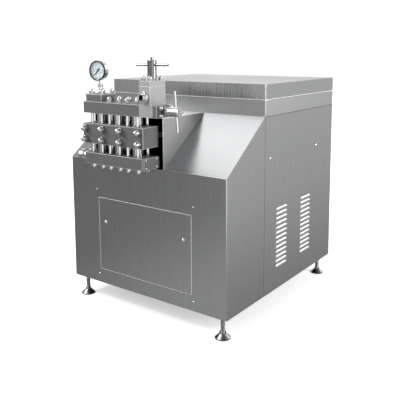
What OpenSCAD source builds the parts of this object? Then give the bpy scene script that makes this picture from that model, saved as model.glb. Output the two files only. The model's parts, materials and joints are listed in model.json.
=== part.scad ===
// Three-plunger dairy homogenizer: a stainless cabinet on levelling feet, with the
// drive inside and the pump block, pressure gauge and two homogenizing valves in front.
// Millimetres, +Z up, front towards -Y, origin on the floor under the middle of the machine.

/* [Cabinet] */
// Width of the cabinet
cab_w = 1000; // [960:5:1100]
// Depth of the cabinet, front face to rear face
cab_d = 1110; // [1060:5:1250]
// Height of the cabinet's lower edge above the floor
ground_gap = 110; // [100:1:130]
// Height of the front face
front_h = 660; // [640:1:680]
// Depth of the sloped shoulder
slope_run = 333; // [320:1:345]
// Height of the sloped shoulder and of the pump hood
slope_rise = 246; // [238:1:254]
// Height of the band under the lid
band_h = 77; // [60:1:95]
// Height of the lid
lid_h = 78; // [70:1:110]
// Thickness of the stainless sheet
sheet_t = 2; // [1.5:0.5:3]
// Width of the folded edges of the sheet parts
fold_w = 22; // [18:1:26]
// Outside radius of the sheet bends
bend_r = 5; // [4:0.5:7]
// Gap round a lift-off panel
panel_gap = 2; // [1:0.5:3]

/* [Front door and side panels] */
// Width of the front door
door_w = 606; // [500:2:640]
// Height of the front door
door_h = 390; // [300:2:420]
// Height of the door's lower edge above the cabinet's lower edge
door_z = 76; // [70:1:90]
// Depth of the folded edge of a lift-off panel
tray_d = 18; // [14:1:24]
// Height of the door locks above the cabinet's lower edge
door_lock_h = 337; // [300:1:380]
// Height of the side panel locks above the cabinet's lower edge
side_lock_h = 696; // [650:1:740]
// Distance from a panel's edge to its lock
lock_inset = 48; // [44:1:54]
// Distance from the cabinet's front to the rear lock of a side panel
rear_lock_y = 893; // [860:1:920]
// Diameter of a lock's head
lock_d = 20; // [16:1:24]
// Length of a lock's cam
cam_l = 40; // [36:1:42]
// Louvres in one column
louvre_n = 13; // [8:1:14]
// Distance from louvre to louvre
louvre_pitch = 25; // [22:1:27]
// Length of a louvre
louvre_l = 112; // [90:1:120]
// Height of a louvre
louvre_h = 12; // [10:1:14]
// Bulge of a louvre out of the panel
louvre_b = 7; // [5:0.5:9]
// Height of the lowest louvre above the cabinet's lower edge
louvre_z = 118; // [100:1:140]
// Distance from the cabinet's front to the first louvre column
louvre_y1 = 450; // [430:1:470]
// Distance from the cabinet's front to the second louvre column
louvre_y2 = 719; // [690:1:740]

/* [Feet] */
// Diameter of a foot's pad
pad_d = 75; // [60:1:80]
// Diameter of a foot's threaded stem
stem_d = 20; // [16:1:24]
// Travel of a foot's screw
foot_travel = 25; // [15:1:30]

/* [Pump] */
// Offset of the pump's middle from the cabinet's middle
pump_x = -87; // [-92:1:-82]
// Height of the deck above the plunger axes
axis_drop = 86; // [80:1:90]
// Distance from plunger to plunger
pitch = 116; // [114:1:118]
// Width of the pump body
body_w = 396; // [388:1:404]
// Depth of the pump body and of both plates
body_d = 110; // [106:1:118]
// Height of the pump body
body_h = 100; // [96:1:108]
// Thickness of the suction and discharge plates
plate_t = 57; // [52:1:58]
// Open height between suction plate and pump body
low_gap = 45; // [42:1:46]
// Open height between pump body and discharge plate
high_gap = 50; // [46:1:56]
// Diameter of a plunger
plunger_d = 34; // [30:1:36]
// Stroke of a plunger
stroke = 50; // [40:1:56]
// Outside diameter of a valve barrel
barrel_d = 53; // [50:1:56]
// Bore of a valve barrel
barrel_bore = 30; // [28:1:32]
// Diameter of a valve ball
ball_d = 26; // [24:0.5:27]
// Lift of a valve ball
ball_lift = 8; // [5:1:9]
// Diameter of the vertical tie studs
stud_d = 16; // [14:1:18]
// Spacing across the barrel of the tie studs, side to side
stud_dx = 64; // [62:1:68]
// Spacing across the barrel of the tie studs, front to back
stud_dy = 70; // [66:1:74]
// Diameter of the long bolts through the pump body
bolt_d = 20; // [18:1:22]
// Height between the two rows of long bolts
bolt_dz = 54; // [52:1:58]
// Width across flats of the cap nuts on the tie studs
nut_af = 24; // [22:1:26]
// Width across flats of the cap nuts on the long bolts
big_nut_af = 32; // [30:1:34]
// Diameter of the product passages in the plates
passage_d = 26; // [22:1:30]

/* [Gauge] */
// Diameter of the gauge case
gauge_d = 98; // [90:1:110]
// Depth of the gauge case
gauge_depth = 34; // [28:1:40]
// Height of the gauge's middle above the discharge plate
gauge_rise = 149; // [143:1:163]
// Turn of the gauge on its stem, towards the right hand
gauge_turn = 6; // [0:1:12]
// Width of the gauge manifold block
gauge_block_w = 108; // [104:1:112]
// Height of the gauge manifold block
gauge_block_t = 36; // [32:1:40]

/* [Homogenizing valves] */
// Width of the valve block's foot
valve_base_w = 102; // [96:1:110]
// Width of the valve block's tower
tower_w = 66; // [64:1:72]
// Height of the tower above the plate, without the bonnet flange
tower_h = 86; // [80:1:96]
// Thickness of a bonnet flange
flange_t = 24; // [20:1:26]
// Diameter of a hand screw's hub
hub_d = 43; // [41:1:48]
// Length of a hand screw's hub
hub_l = 82; // [76:1:90]
// Gap between a bonnet flange and the hub
hub_gap = 10; // [8:1:12]
// Length of a T-bar
tbar_l = 190; // [160:1:200]
// Diameter of a T-bar
tbar_d = 11; // [9:1:13]
// Pitch of a hand screw's thread
screw_pitch = 3; // [2:0.5:4]
// Tilt of the second stage's T-bar
tbar_tilt = 6; // [0:1:20]
// Outside diameter of the outlet union
outlet_d = 56; // [50:1:58]
// Reach of the outlet union
outlet_l = 28; // [24:1:36]
// Length of the outlet's collar
outlet_collar_l = 15; // [12:1:18]
// Outside diameter of the outlet's pipe end
outlet_pipe_d = 36; // [34:1:40]
// Outside diameter of the inlet union
inlet_d = 56; // [50:1:57]
// Reach of the inlet union
inlet_l = 84; // [70:1:95]

/* [Drive] */
// Distance from the pump body to the crankcase
lantern_l = 150; // [140:1:165]
// Depth of the crankcase
crank_d = 540; // [530:1:560]
// Height of the crankcase above and below the plunger axes
crank_half_h = 165; // [155:1:175]
// Diameter of the crankshaft
shaft_d = 70; // [60:1:80]
// Outside diameter of the driven pulley
big_pulley_d = 420; // [380:2:440]
// Outside diameter of the motor pulley
small_pulley_d = 160; // [140:2:180]
// Number of belts
belt_n = 4; // [3:1:5]
// Width of a belt
belt_w = 16; // [13:1:18]
// Height of a belt
belt_h = 12; // [10:1:13]
// Diameter of the motor's ribbed body
motor_d = 300; // [260:2:310]
// Length of the motor's ribbed body
motor_l = 330; // [300:2:350]
// Height of the motor's axis above its feet
motor_h = 160; // [156:1:180]
// Side of the square frame tubes
tube_w = 60; // [54:1:64]

/* [Hidden] */
$fn = 48;

// Clearances
slip = 0.4;
bolt_slip = 0.5;
seat_slip = 0.05;

// Cabinet levels and planes, measured from the cabinet's front face and lower edge
half_w = cab_w / 2;
deck_h = front_h + slope_rise;
band_top = deck_h + band_h;
cab_top = band_top + lid_h;
slope_a = atan2(deck_h - front_h, slope_run);
slope_v = sheet_t / cos(slope_a);
lip_h = deck_h - slope_v - sheet_t * tan(slope_a);
lip_x = half_w - tray_d - sheet_t;
lock_depth = tray_d + sheet_t + 1;
cam_t = 4;
cam_w = 16;
lock_shaft_d = 14;
lock_head_h = 8;
lid_seat = 2;
band_flange = 62;
lid_flange = 32;
door_half = door_w / 2;

// Small screws
screw_head_d = 12;
screw_r = 1.8;
screw_slip = 0.2;
screw_l = 4;
screw_edge = 10;
screw_below = 32;
screw_above = 39;
front_screw_zs = [door_z - screw_below, door_z + door_h + screw_above];
rear_screw_in = 40;
rear_screw_edge = 30;
rear_screw_zs = [rear_screw_in, deck_h / 2, deck_h - rear_screw_in];
cover_t = 10;
cover_screw_in = 18;
cover_screw_dz = 19;

// Frame
tube_wall = 4;
rail_front = sheet_t + 12;
rail_x = lip_x;
rail_z = sheet_t;
rail_top = rail_z + tube_w;
post_w = 40;
post_front = slope_run + 24;
foot_x = rail_x - tube_w / 2;
foot_front = rail_front + tube_w / 2;
rail_back = cab_d - tray_d - 2 * sheet_t;
foot_rear = rail_back - tube_w / 2;
boss_d = stem_d + 16;
foot_nut_af = 34;
foot_nut_h = 16;
pad_h = 30;
strip_off = 26;
strip_w = 30;

// Pump levels
axis_h = deck_h - axis_drop;
plate_d = body_d;
mid_y = -body_d / 2;
body_z0 = axis_h - body_h / 2;
body_z1 = axis_h + body_h / 2;
suct_z1 = body_z0 - low_gap;
suct_z0 = suct_z1 - plate_t;
suct_axis = suct_z0 + plate_t / 2;
disc_z0 = body_z1 + high_gap;
disc_z1 = disc_z0 + plate_t;
disc_axis = disc_z0 + plate_t / 2;
end_margin = 31;
suct_x0 = pump_x - body_w / 2 + 11;
suct_x1 = pump_x + body_w / 2 - 6;
disc_x0 = pump_x - body_w / 2 + 6;
disc_x1 = pump_x + pitch + stud_dx / 2 + end_margin;
edge_c = 1.5;
stud_r = stud_d / 2;
bolt_r = bolt_d / 2;
nut_grip = 12;
seat_d = 18;
seat_t = 12;
ball_r = ball_d / 2;
ball_up = sqrt(ball_r * ball_r - seat_d * seat_d / 4) + seat_slip;
bolt_xs = [-1.5 * pitch, -0.5 * pitch, 0.5 * pitch, 1.5 * pitch];
spacer_d = 34;

// Hood round the pump's rear
hood_half = body_w / 2 + 28;
hood_x0 = pump_x - hood_half;
hood_x1 = pump_x + hood_half;
hood_back = lantern_l - 12;
rod_d = 60;
rod_hole = rod_d + 6;

// Plungers
tip_mid = -body_d + 52;
bore_end = -body_d + 22;
gland_l = 40;
gland_r = 26;
collar_y = 95;
collar_l = 20;
rod_y = collar_y + collar_l;
rod_end = lantern_l + 122;
rod_bore_end = rod_end + stroke;
phase = [1, -0.5, -0.5];

// Gauge
gauge_shift = -8;
gauge_x = pump_x - pitch + gauge_shift;
gauge_block_d = body_d - 12;
gauge_h = disc_z1 + gauge_rise;
gauge_back = mid_y + 9;
gauge_block_top = disc_z1 + gauge_block_t;
gauge_r = gauge_d / 2;
case_wall = 2.5;
dial_z = gauge_depth - 11;
dial_t = 1;
hand_gap = 1.5;
hand_pin_r = 1.5;
hand_t = 1.2;
glass_z = gauge_depth - 4;
glass_t = 2;
dial_r = gauge_r - case_wall - 1;
zero_a = 225;
stem_hex_af = 22;
stem_r = 7;

// Homogenizing valves
tower_x = disc_x1 + tower_w / 2;
tower_top = disc_z1 + tower_h;
base_x1 = disc_x1 + valve_base_w - flange_t;
plug_r = 14.6;
plug_l = 26;
plug_z = 7;
valve_bore_r = plug_r + slip;
spindle_r = 9.6;
neck_r = 14;
neck_l = 40;
hub_bore_l = 50;
hub_top = flange_t + hub_gap + hub_l;
tbar_z = hub_top - 21;
tip_l = 14;
tip_r = 6;
stage_dx1 = 40;
stage_dy1 = 76;
stage_dx2 = 36;
stage_dy2 = 70;
stage1_axis = [tower_x, mid_y, tower_top];
stage2_axis = [base_x1, mid_y, disc_axis];
outlet_h = disc_z1 + 35;
union_collar = 68;

// Drive
crank_w = body_w + 14;
crank_z0 = axis_h - crank_half_h;
crank_z1 = axis_h + crank_half_h;
crank_y = lantern_l + crank_d - 140;
guide_z1 = deck_h - sheet_t - 10;
box_y = slope_run + band_flange + 6;
belt_gap = 5;
belt_step = belt_w + belt_gap;
belt_clear = 10;
pulley_rim = 4;
pulley_w = belt_n * belt_step + 2 * pulley_rim;
pulley_x = pump_x + crank_w / 2 + 34;
big_r = big_pulley_d / 2;
small_r = small_pulley_d / 2;
groove_d = belt_h + 2;
motor_back = 265;
motor_y = crank_y + motor_back;
motor_axis = rail_top + motor_h;
motor_x1 = pulley_x - 16;
motor_x0 = motor_x1 - motor_l;
motor_shaft_d = 42;
cowl_l = 84;
rib_n = 28;
leg_x0 = pump_x - crank_w / 2;
leg_x1 = pump_x + crank_w / 2 - tube_w;
leg_y0 = lantern_l + 40;
leg_y1 = crank_y + 10;
motor_rail_dy = 127;

// Place of the cabinet's front lower edge in the shared frame
gland_reach = 28;
cord_hole_h = 150;
front_reach = body_d + max(outlet_l, cap_nut_h(big_nut_af));
front_y = (front_reach - cab_d - gland_reach) / 2;

// The square tubes of the frame, each as corner and size: along the sides, across, upright
SIDE_RAILS = [for (x = [-rail_x, rail_x - tube_w])
    [[x, rail_front, rail_z], [tube_w, rail_back - rail_front, tube_w]]
];
cross_ys = [
    rail_front, leg_y0, leg_y1, motor_y - motor_rail_dy - tube_w / 2,
    motor_y + motor_rail_dy - tube_w / 2, rail_back - tube_w
];
CROSS_RAILS = [for (y = cross_ys)
    [[tube_w - rail_x, y, rail_z], [2 * (rail_x - tube_w), tube_w, tube_w]]
];
LEGS = [for (x = [leg_x0, leg_x1], y = [leg_y0, leg_y1])
    [[x, y, rail_top], [tube_w, tube_w, crank_z0 - rail_top]]
];
POSTS = [for (x = [rail_x - tube_w, tube_w - post_w - rail_x], y = [post_front, rail_back - post_w])
    [[x, y, rail_top], [post_w, post_w, deck_h - rail_top]]
];

// Helpers
module placed() {
    translate([0, front_y, ground_gap]) children();
}

module rod_x(r, l) {
    rotate([0, 90, 0]) cylinder(r = r, h = l);
}

module rod_y(r, l) {
    rotate([-90, 0, 0]) cylinder(r = r, h = l);
}

module chamfer_rect(x, y, c) {
    polygon([
        [c, 0], [x - c, 0], [x, c], [x, y - c],
        [x - c, y], [c, y], [0, y - c], [0, c]
    ]);
}

module round_rect(x, y, r) {
    translate([r, 0]) square([x - 2 * r, y]);
    translate([0, r]) square([x, y - 2 * r]);
    for (i = [r, x - r], j = [r, y - r]) {
        translate([i, j]) circle(r = r);
    }
}

// A machined block with broken edges, its corner at the origin
module block(x, y, z, c) {
    intersection() {
        linear_extrude(height = z) chamfer_rect(x, y, c);
        translate([0, y, 0]) rotate([90, 0, 0]) linear_extrude(height = y) chamfer_rect(x, z, c);
        rotate([90, 0, 90]) linear_extrude(height = x) chamfer_rect(y, z, c);
    }
}

// Height of a cap nut over its seat
function cap_nut_h(af) = af + 2;

// A closed cap nut standing on z = 0
module cap_nut(af, bore_d, grip) {
    dome_r = af / 2 - 1;
    hex_h = dome_r + 2;
    difference() {
        union() {
            cylinder(d = af / cos(30), h = hex_h, $fn = 6);
            translate([0, 0, hex_h - 1]) cylinder(r = dome_r, h = 3);
            translate([0, 0, hex_h + 2]) sphere(r = dome_r);
        }
        translate([0, 0, -1]) cylinder(r = bore_d / 2 + slip / 2, h = grip + 2);
    }
}

// A low dome-headed screw whose head stands on z = 0
module dome_screw(d) {
    intersection() {
        translate([0, 0, -d * 0.35]) sphere(r = d * 0.62);
        cylinder(r = d / 2, h = d);
    }
}

// A quarter-turn lock: z points out of the panel, z = 0 is the panel's face
module quarter_lock() {
    cylinder(d = lock_d, h = 3);
    intersection() {
        translate([0, 0, -lock_d * 0.12]) sphere(r = lock_d * 0.5);
        translate([0, 0, 2]) cylinder(d = lock_d, h = lock_d);
    }
    translate([0, 0, -lock_depth - cam_t]) cylinder(d = lock_shaft_d, h = lock_depth + cam_t + 1);
    translate([-cam_w / 2, -cam_l, -lock_depth - cam_t]) cube([cam_w, cam_l, cam_t]);
}

// A lift-off panel as a tray with folded edges: face at z = 0, folds go down
module tray(x, y) {
    difference() {
        translate([0, 0, -tray_d]) linear_extrude(height = tray_d) round_rect(x, y, 3);
        translate([sheet_t, sheet_t, -tray_d - 1])
            cube([x - 2 * sheet_t, y - 2 * sheet_t, tray_d + 1 - sheet_t]);
    }
}

// One pressed louvre: x is its length, y points up the panel, z out of it
module louvre_shape(cut) {
    intersection() {
        rotate([90, 0, 90]) linear_extrude(height = louvre_l) polygon([
            [-cut, 0], [-cut, louvre_b - cut], [louvre_h * 0.45, louvre_b * 0.8 - cut],
            [louvre_h - 2 * cut, 0]
        ]);
        translate([0, -louvre_h, -1]) linear_extrude(height = louvre_b + 2) union() {
            translate([louvre_h + cut, 0]) square([louvre_l - 2 * louvre_h - 2 * cut, 2 * louvre_h]);
            translate([louvre_h + cut, louvre_h]) circle(r = louvre_h);
            translate([louvre_l - louvre_h - cut, louvre_h]) circle(r = louvre_h);
        }
    }
}

module louvre_grid() {
    for (c = [louvre_y1, louvre_y2], i = [0 : louvre_n - 1]) {
        translate([c, louvre_z + i * louvre_pitch, 0]) children();
    }
}

// Cabinet pieces
// A square tube closed at both ends
module square_tube(t) {
    difference() {
        translate(t[0]) cube(t[1]);
        translate(t[0] + [tube_wall, tube_wall, tube_wall])
            cube(t[1] - [2 * tube_wall, 2 * tube_wall, 2 * tube_wall]);
    }
}

module foot_places() {
    for (x = [-foot_x, foot_x], y = [foot_front, foot_rear]) {
        translate([x, y, rail_z]) children();
    }
}

module frame_side_rails() {
    color([0.45, 0.46, 0.48]) placed() difference() {
        union() {
            for (t = SIDE_RAILS) {
                square_tube(t);
            }
            foot_places() cylinder(d = boss_d, h = tube_w);
        }
        foot_places() translate([0, 0, -1]) cylinder(r = stem_d / 2 + slip, h = tube_w + 2);
    }
}

module frame_cross_rails() {
    color([0.45, 0.46, 0.48]) placed() for (t = CROSS_RAILS) {
        square_tube(t);
    }
}

// Crankcase legs, cabinet posts and the strips behind the rear side locks
module frame_uprights() {
    color([0.45, 0.46, 0.48]) placed() {
        for (t = concat(LEGS, POSTS)) {
            square_tube(t);
        }
        for (m = [0, 1]) {
            mirror([m, 0, 0]) translate([lip_x, rear_lock_y + strip_off, rail_z])
                cube([sheet_t, strip_w, deck_h - rail_z]);
        }
    }
}

// A levelling foot standing on the floor, its nut under the frame
module levelling_foot(x, y) {
    color([0.7, 0.7, 0.72]) translate([x, y + front_y, 0]) {
        rotate_extrude() polygon([
            [0, 0], [pad_d / 2, 0], [pad_d / 2, 5], [pad_d / 2 - 4, 8],
            [stem_d * 0.8, pad_h - 6], [stem_d * 0.8, pad_h], [0, pad_h]
        ]);
        cylinder(r = stem_d / 2, h = ground_gap + rail_top - 4);
        translate([0, 0, ground_gap + rail_z - foot_nut_h])
            cylinder(d = foot_nut_af / cos(30), h = foot_nut_h, $fn = 6);
    }
}

module foot_front_left() {
    levelling_foot(-foot_x, foot_front);
}

module foot_front_right() {
    levelling_foot(foot_x, foot_front);
}

module foot_rear_left() {
    levelling_foot(-foot_x, foot_rear);
}

module foot_rear_right() {
    levelling_foot(foot_x, foot_rear);
}

// Side outline of the cabinet's front part
module shoulder_prism(x0, x1) {
    translate([x0, 0, 0]) rotate([90, 0, 90]) linear_extrude(height = x1 - x0) polygon([
        [-1, 0], [slope_run, 0], [slope_run, deck_h], [0, front_h], [-1, front_h]
    ]);
}

module front_shell() {
    frame_w = door_w + 2 * panel_gap;
    frame_h = door_h + 2 * panel_gap;
    color([0.72, 0.73, 0.75]) placed() difference() {
        union() {
            intersection() {
                linear_extrude(height = deck_h) difference() {
                    translate([-half_w, 0]) round_rect(cab_w, slope_run + 40, bend_r);
                    translate([-half_w + sheet_t, sheet_t])
                        round_rect(cab_w - 2 * sheet_t, slope_run + 80, bend_r - sheet_t);
                }
                shoulder_prism(-half_w, half_w);
            }
            translate([-half_w + bend_r, sheet_t / 2, 0]) cube([cab_w - 2 * bend_r, fold_w, sheet_t]);
            for (m = [0, 1]) {
                mirror([m, 0, 0]) translate([lip_x, slope_run - sheet_t, 0])
                    cube([tray_d + sheet_t / 2, sheet_t, lip_h]);
                mirror([m, 0, 0]) translate([lip_x, slope_run - sheet_t, 0]) cube([sheet_t, fold_w, lip_h]);
            }
            translate([-frame_w / 2 - sheet_t, sheet_t / 2, door_z - panel_gap - sheet_t])
                cube([frame_w + 2 * sheet_t, tray_d + sheet_t / 2, frame_h + 2 * sheet_t]);
        }
        translate([-frame_w / 2, -1, door_z - panel_gap])
            cube([frame_w, 1 + tray_d, frame_h]);
        translate([-frame_w / 2 + fold_w, 0, door_z - panel_gap + fold_w])
            cube([frame_w - 2 * fold_w, 2 * fold_w, frame_h - 2 * fold_w]);
        translate([hood_x0, -1, front_h]) cube([2 * hood_half, sheet_t + 2, slope_rise]);
        for (x = [-1, 1], z = front_screw_zs) {
            translate([x * (door_half + screw_edge), -1, z]) rod_y(screw_r + screw_slip, sheet_t + 2);
        }
    }
}

module slope_sheet(x0, x1) {
    z_in = front_h + sheet_t * tan(slope_a);
    translate([x0, 0, 0]) rotate([90, 0, 90]) linear_extrude(height = x1 - x0) polygon([
        [sheet_t, z_in - slope_v], [slope_run, deck_h - slope_v],
        [slope_run, deck_h], [sheet_t, z_in]
    ]);
}

module slope_panels() {
    color([0.86, 0.87, 0.88]) placed() {
        slope_sheet(hood_x1, half_w - sheet_t);
        slope_sheet(-half_w + sheet_t, hood_x0);
    }
}

module pump_hood() {
    hood_w = 2 * hood_half;
    color([0.6, 0.61, 0.63]) placed() difference() {
        union() {
            translate([hood_x0, sheet_t, front_h - sheet_t])
                cube([sheet_t, slope_run - sheet_t, deck_h - front_h + sheet_t]);
            translate([hood_x0, 0, front_h]) cube([sheet_t, slope_run, deck_h - front_h]);
            translate([hood_x1 - sheet_t, sheet_t, front_h - sheet_t])
                cube([sheet_t, slope_run - sheet_t, deck_h - front_h + sheet_t]);
            translate([hood_x1 - sheet_t, 0, front_h]) cube([sheet_t, slope_run, deck_h - front_h]);
            translate([hood_x0, 0, deck_h - sheet_t]) cube([hood_w, slope_run, sheet_t]);
            translate([hood_x0, sheet_t, front_h - sheet_t]) cube([hood_w, hood_back, sheet_t]);
            translate([hood_x0, hood_back, front_h - sheet_t])
                cube([hood_w, sheet_t, deck_h - front_h + sheet_t]);
        }
        for (i = [-1 : 1]) {
            translate([pump_x + i * pitch, hood_back - 1, axis_h]) rod_y(rod_hole / 2, sheet_t + 2);
        }
        for (x = bolt_xs, z = [-0.5, 0.5]) {
            translate([pump_x + x, hood_back - 1, axis_h + z * bolt_dz]) rod_y(spacer_d / 2 + 2, sheet_t + 2);
        }
    }
}

module upper_band() {
    ring_d = cab_d - slope_run;
    color([0.74, 0.75, 0.77]) placed() translate([-half_w, slope_run, deck_h]) difference() {
        linear_extrude(height = band_h) round_rect(cab_w, ring_d, bend_r);
        translate([sheet_t, sheet_t, sheet_t])
            cube([cab_w - 2 * sheet_t, ring_d - 2 * sheet_t, band_h - 2 * sheet_t]);
        translate([band_flange, band_flange, -1])
            cube([cab_w - 2 * band_flange, ring_d - 2 * band_flange, sheet_t + 2]);
        translate([lid_flange, lid_flange, band_h - sheet_t - 1])
            cube([cab_w - 2 * lid_flange, ring_d - 2 * lid_flange, sheet_t + 2]);
        translate([half_w + pulley_x - belt_clear, 3 * sheet_t, -1])
            cube([pulley_w + 2 * belt_clear, band_flange, sheet_t + 2]);
    }
}

module top_cover() {
    ring_d = cab_d - slope_run;
    pad = 26;
    in_x = sheet_t / 2;
    in_y = sheet_t / 2 + bend_r;
    color([0.84, 0.85, 0.86]) placed() translate([-half_w, slope_run, band_top]) {
        difference() {
            translate([0, 0, lid_seat]) linear_extrude(height = lid_h - lid_seat)
                round_rect(cab_w, ring_d, bend_r);
            translate([sheet_t, sheet_t, 0])
                cube([cab_w - 2 * sheet_t, ring_d - 2 * sheet_t, lid_h - sheet_t]);
        }
        for (x = [in_x, cab_w - pad - in_x], y = [in_y, ring_d - pad - in_y]) {
            translate([x, y, 0]) cube([pad, pad, lid_h - sheet_t / 2]);
        }
    }
}

module rear_panel() {
    color([0.7, 0.71, 0.73]) placed() difference() {
        union() {
            translate([-half_w, cab_d - sheet_t, 0]) cube([cab_w, sheet_t, deck_h]);
            for (x = [-rail_x, rail_x - fold_w], z = [rail_z]) {
                translate([x, rail_back, z])
                    cube([sheet_t, cab_d - rail_back - sheet_t / 2, deck_h - rail_z - panel_gap]);
            }
        }
        translate([half_w * 0.6, cab_d - 2 * sheet_t, cord_hole_h]) rod_y(13, 4 * sheet_t);
        for (x = [-1, 1], z = rear_screw_zs) {
            translate([x * (half_w - rear_screw_edge), cab_d - sheet_t - 1, z])
                rod_y(screw_r + screw_slip, sheet_t + 2);
        }
    }
}

module cable_gland() {
    color([0.15, 0.15, 0.16]) placed() translate([half_w * 0.6, cab_d, cord_hole_h]) {
        translate([0, -2 * sheet_t - 10, 0]) rod_y(12.5, 2 * sheet_t + 11);
        rotate([-90, 0, 0]) cylinder(d = 36, h = 8, $fn = 6);
        translate([0, 8, 0]) rotate([-90, 0, 0]) rotate_extrude() polygon([
            [0, -1], [15, -1], [15, 10], [10, gland_reach - 8], [7, gland_reach - 8], [7, 4], [0, 4]
        ]);
    }
}

module front_door() {
    color([0.73, 0.74, 0.76]) placed() difference() {
        translate([-door_half, 0, door_z]) rotate([90, 0, 0]) tray(door_w, door_h);
        for (x = [-1, 1]) {
            translate([x * (door_half - lock_inset), -1, door_lock_h])
                rod_y(lock_shaft_d / 2 + slip, sheet_t + 2);
        }
    }
}

module door_lock(side) {
    color([0.8, 0.8, 0.82]) placed() translate([side * (door_half - lock_inset), 0, door_lock_h])
        rotate([90, 0, 0]) quarter_lock();
}

module front_lock_left() {
    door_lock(-1);
}

module front_lock_right() {
    door_lock(1);
}

// Carries the panel frame of the right side: x runs to the rear, y up, z out
module on_right_side() {
    placed() translate([half_w, 0, 0]) rotate([90, 0, 90]) children();
}

module on_left_side() {
    mirror([1, 0, 0]) on_right_side() children();
}

module side_panel() {
    y0 = slope_run + panel_gap;
    difference() {
        union() {
            translate([y0, 0, 0]) tray(cab_d - sheet_t - panel_gap - y0, deck_h - panel_gap);
            louvre_grid() translate([0, 0, -0.5]) louvre_shape(0);
        }
        louvre_grid() translate([0, 0, -sheet_t - 1]) linear_extrude(height = sheet_t + 2)
            translate([louvre_h, -0.5]) square([louvre_l - 2 * louvre_h, louvre_h * 0.6]);
        louvre_grid() translate([0, 0, -0.5]) louvre_shape(1.5);
        for (y = [slope_run + lock_inset, rear_lock_y]) {
            translate([y, side_lock_h, -sheet_t - 1]) cylinder(r = lock_shaft_d / 2 + slip, h = sheet_t + 2);
        }
    }
}

module side_lock(y) {
    translate([y, side_lock_h, 0]) quarter_lock();
}

module right_side_panel() {
    color([0.76, 0.77, 0.79]) on_right_side() side_panel();
}

module right_lock_front() {
    color([0.8, 0.8, 0.82]) on_right_side() side_lock(slope_run + lock_inset);
}

module right_lock_rear() {
    color([0.8, 0.8, 0.82]) on_right_side() side_lock(rear_lock_y);
}

module left_side_panel() {
    color([0.76, 0.77, 0.79]) on_left_side() side_panel();
}

module left_lock_front() {
    color([0.8, 0.8, 0.82]) on_left_side() side_lock(slope_run + lock_inset);
}

module left_lock_rear() {
    color([0.8, 0.8, 0.82]) on_left_side() side_lock(rear_lock_y);
}

// Small dome-headed screws: front sheet, rear sheet and suction end cover
module sheet_screw() {
    dome_screw(screw_head_d);
    translate([0, 0, -sheet_t - screw_l]) cylinder(r = screw_r, h = sheet_t + screw_l + 1);
}

module small_screws() {
    color([0.8, 0.8, 0.82]) placed() {
        for (x = [-1, 1], z = front_screw_zs) {
            translate([x * (door_half + screw_edge), 0, z]) rotate([90, 0, 0]) sheet_screw();
        }
        for (x = [-1, 1], z = rear_screw_zs) {
            translate([x * (half_w - rear_screw_edge), cab_d, z]) rotate([-90, 0, 0]) sheet_screw();
        }
        for (y = [cover_screw_in - plate_d, -cover_screw_in], z = [-cover_screw_dz, cover_screw_dz]) {
            translate([suct_x1 + cover_t, y, suct_axis + z]) rotate([0, 90, 0]) dome_screw(screw_head_d);
        }
    }
}

// Pump pieces
module stud_pattern() {
    for (i = [-1 : 1], x = [-0.5, 0.5], y = [-0.5, 0.5]) {
        translate([pump_x + i * pitch + x * stud_dx, mid_y + y * stud_dy, 0]) children();
    }
}

module pump_body() {
    color([0.78, 0.79, 0.81]) placed() difference() {
        translate([pump_x - body_w / 2, -body_d, body_z0]) block(body_w, body_d, body_h, edge_c);
        for (i = [-1 : 1]) {
            translate([pump_x + i * pitch, bore_end, axis_h]) rod_y(plunger_d / 2 + 2, body_d);
            translate([pump_x + i * pitch, mid_y, body_z0 - 1]) cylinder(r = barrel_bore / 2, h = body_h + 2);
        }
        stud_pattern() translate([0, 0, body_z0 - 1]) cylinder(r = stud_r + bolt_slip, h = body_h + 2);
        for (x = bolt_xs, z = [-0.5, 0.5]) {
            translate([pump_x + x, -body_d - 1, axis_h + z * bolt_dz]) rod_y(bolt_r + bolt_slip, body_d + 2);
        }
    }
}

module suction_plate() {
    color([0.78, 0.79, 0.81]) placed() difference() {
        translate([suct_x0, -plate_d, suct_z0]) block(suct_x1 - suct_x0, plate_d, plate_t, edge_c);
        translate([suct_x0 - 1, mid_y, suct_axis]) rod_x(passage_d / 2, suct_x1 - suct_x0 + 2);
        for (i = [-1 : 1]) {
            translate([pump_x + i * pitch, mid_y, suct_axis]) cylinder(r = seat_d / 2, h = plate_t);
        }
        stud_pattern() translate([0, 0, suct_z0 - 1]) cylinder(r = stud_r + bolt_slip, h = plate_t + 2);
    }
}

module discharge_plate() {
    color([0.78, 0.79, 0.81]) placed() difference() {
        translate([disc_x0, -plate_d, disc_z0]) block(disc_x1 - disc_x0, plate_d, plate_t, edge_c);
        translate([pump_x - pitch - 20, mid_y, disc_axis]) rod_x(passage_d / 2, cab_w / 2);
        for (i = [-1 : 1]) {
            translate([pump_x + i * pitch, mid_y, disc_z0 - 1])
                cylinder(r = barrel_bore / 2, h = plate_t / 2 + 1);
        }
        translate([gauge_x, mid_y, disc_axis]) cylinder(r = 4, h = plate_t);
        stud_pattern() translate([0, 0, disc_z0 - 1]) cylinder(r = stud_r + bolt_slip, h = plate_t + 2);
    }
}

module valve_barrel(z0, h) {
    translate([0, mid_y, z0]) difference() {
        cylinder(d = barrel_d, h = h);
        translate([0, 0, -1]) cylinder(d = seat_d, h = h + 2);
        translate([0, 0, seat_t]) cylinder(d = barrel_bore, h = h);
    }
}

module valve_barrels() {
    color([0.85, 0.86, 0.87]) placed() for (i = [-1 : 1]) {
        translate([pump_x + i * pitch, 0, 0]) valve_barrel(suct_z1, low_gap);
        translate([pump_x + i * pitch, 0, 0]) valve_barrel(body_z1, high_gap);
    }
}

module valve_ball(i, z0) {
    color([0.9, 0.9, 0.92]) placed() translate([pump_x + i * pitch, mid_y, z0 + seat_t + ball_up])
        sphere(r = ball_r);
}

module suction_ball_1() {
    valve_ball(-1, suct_z1);
}

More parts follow.
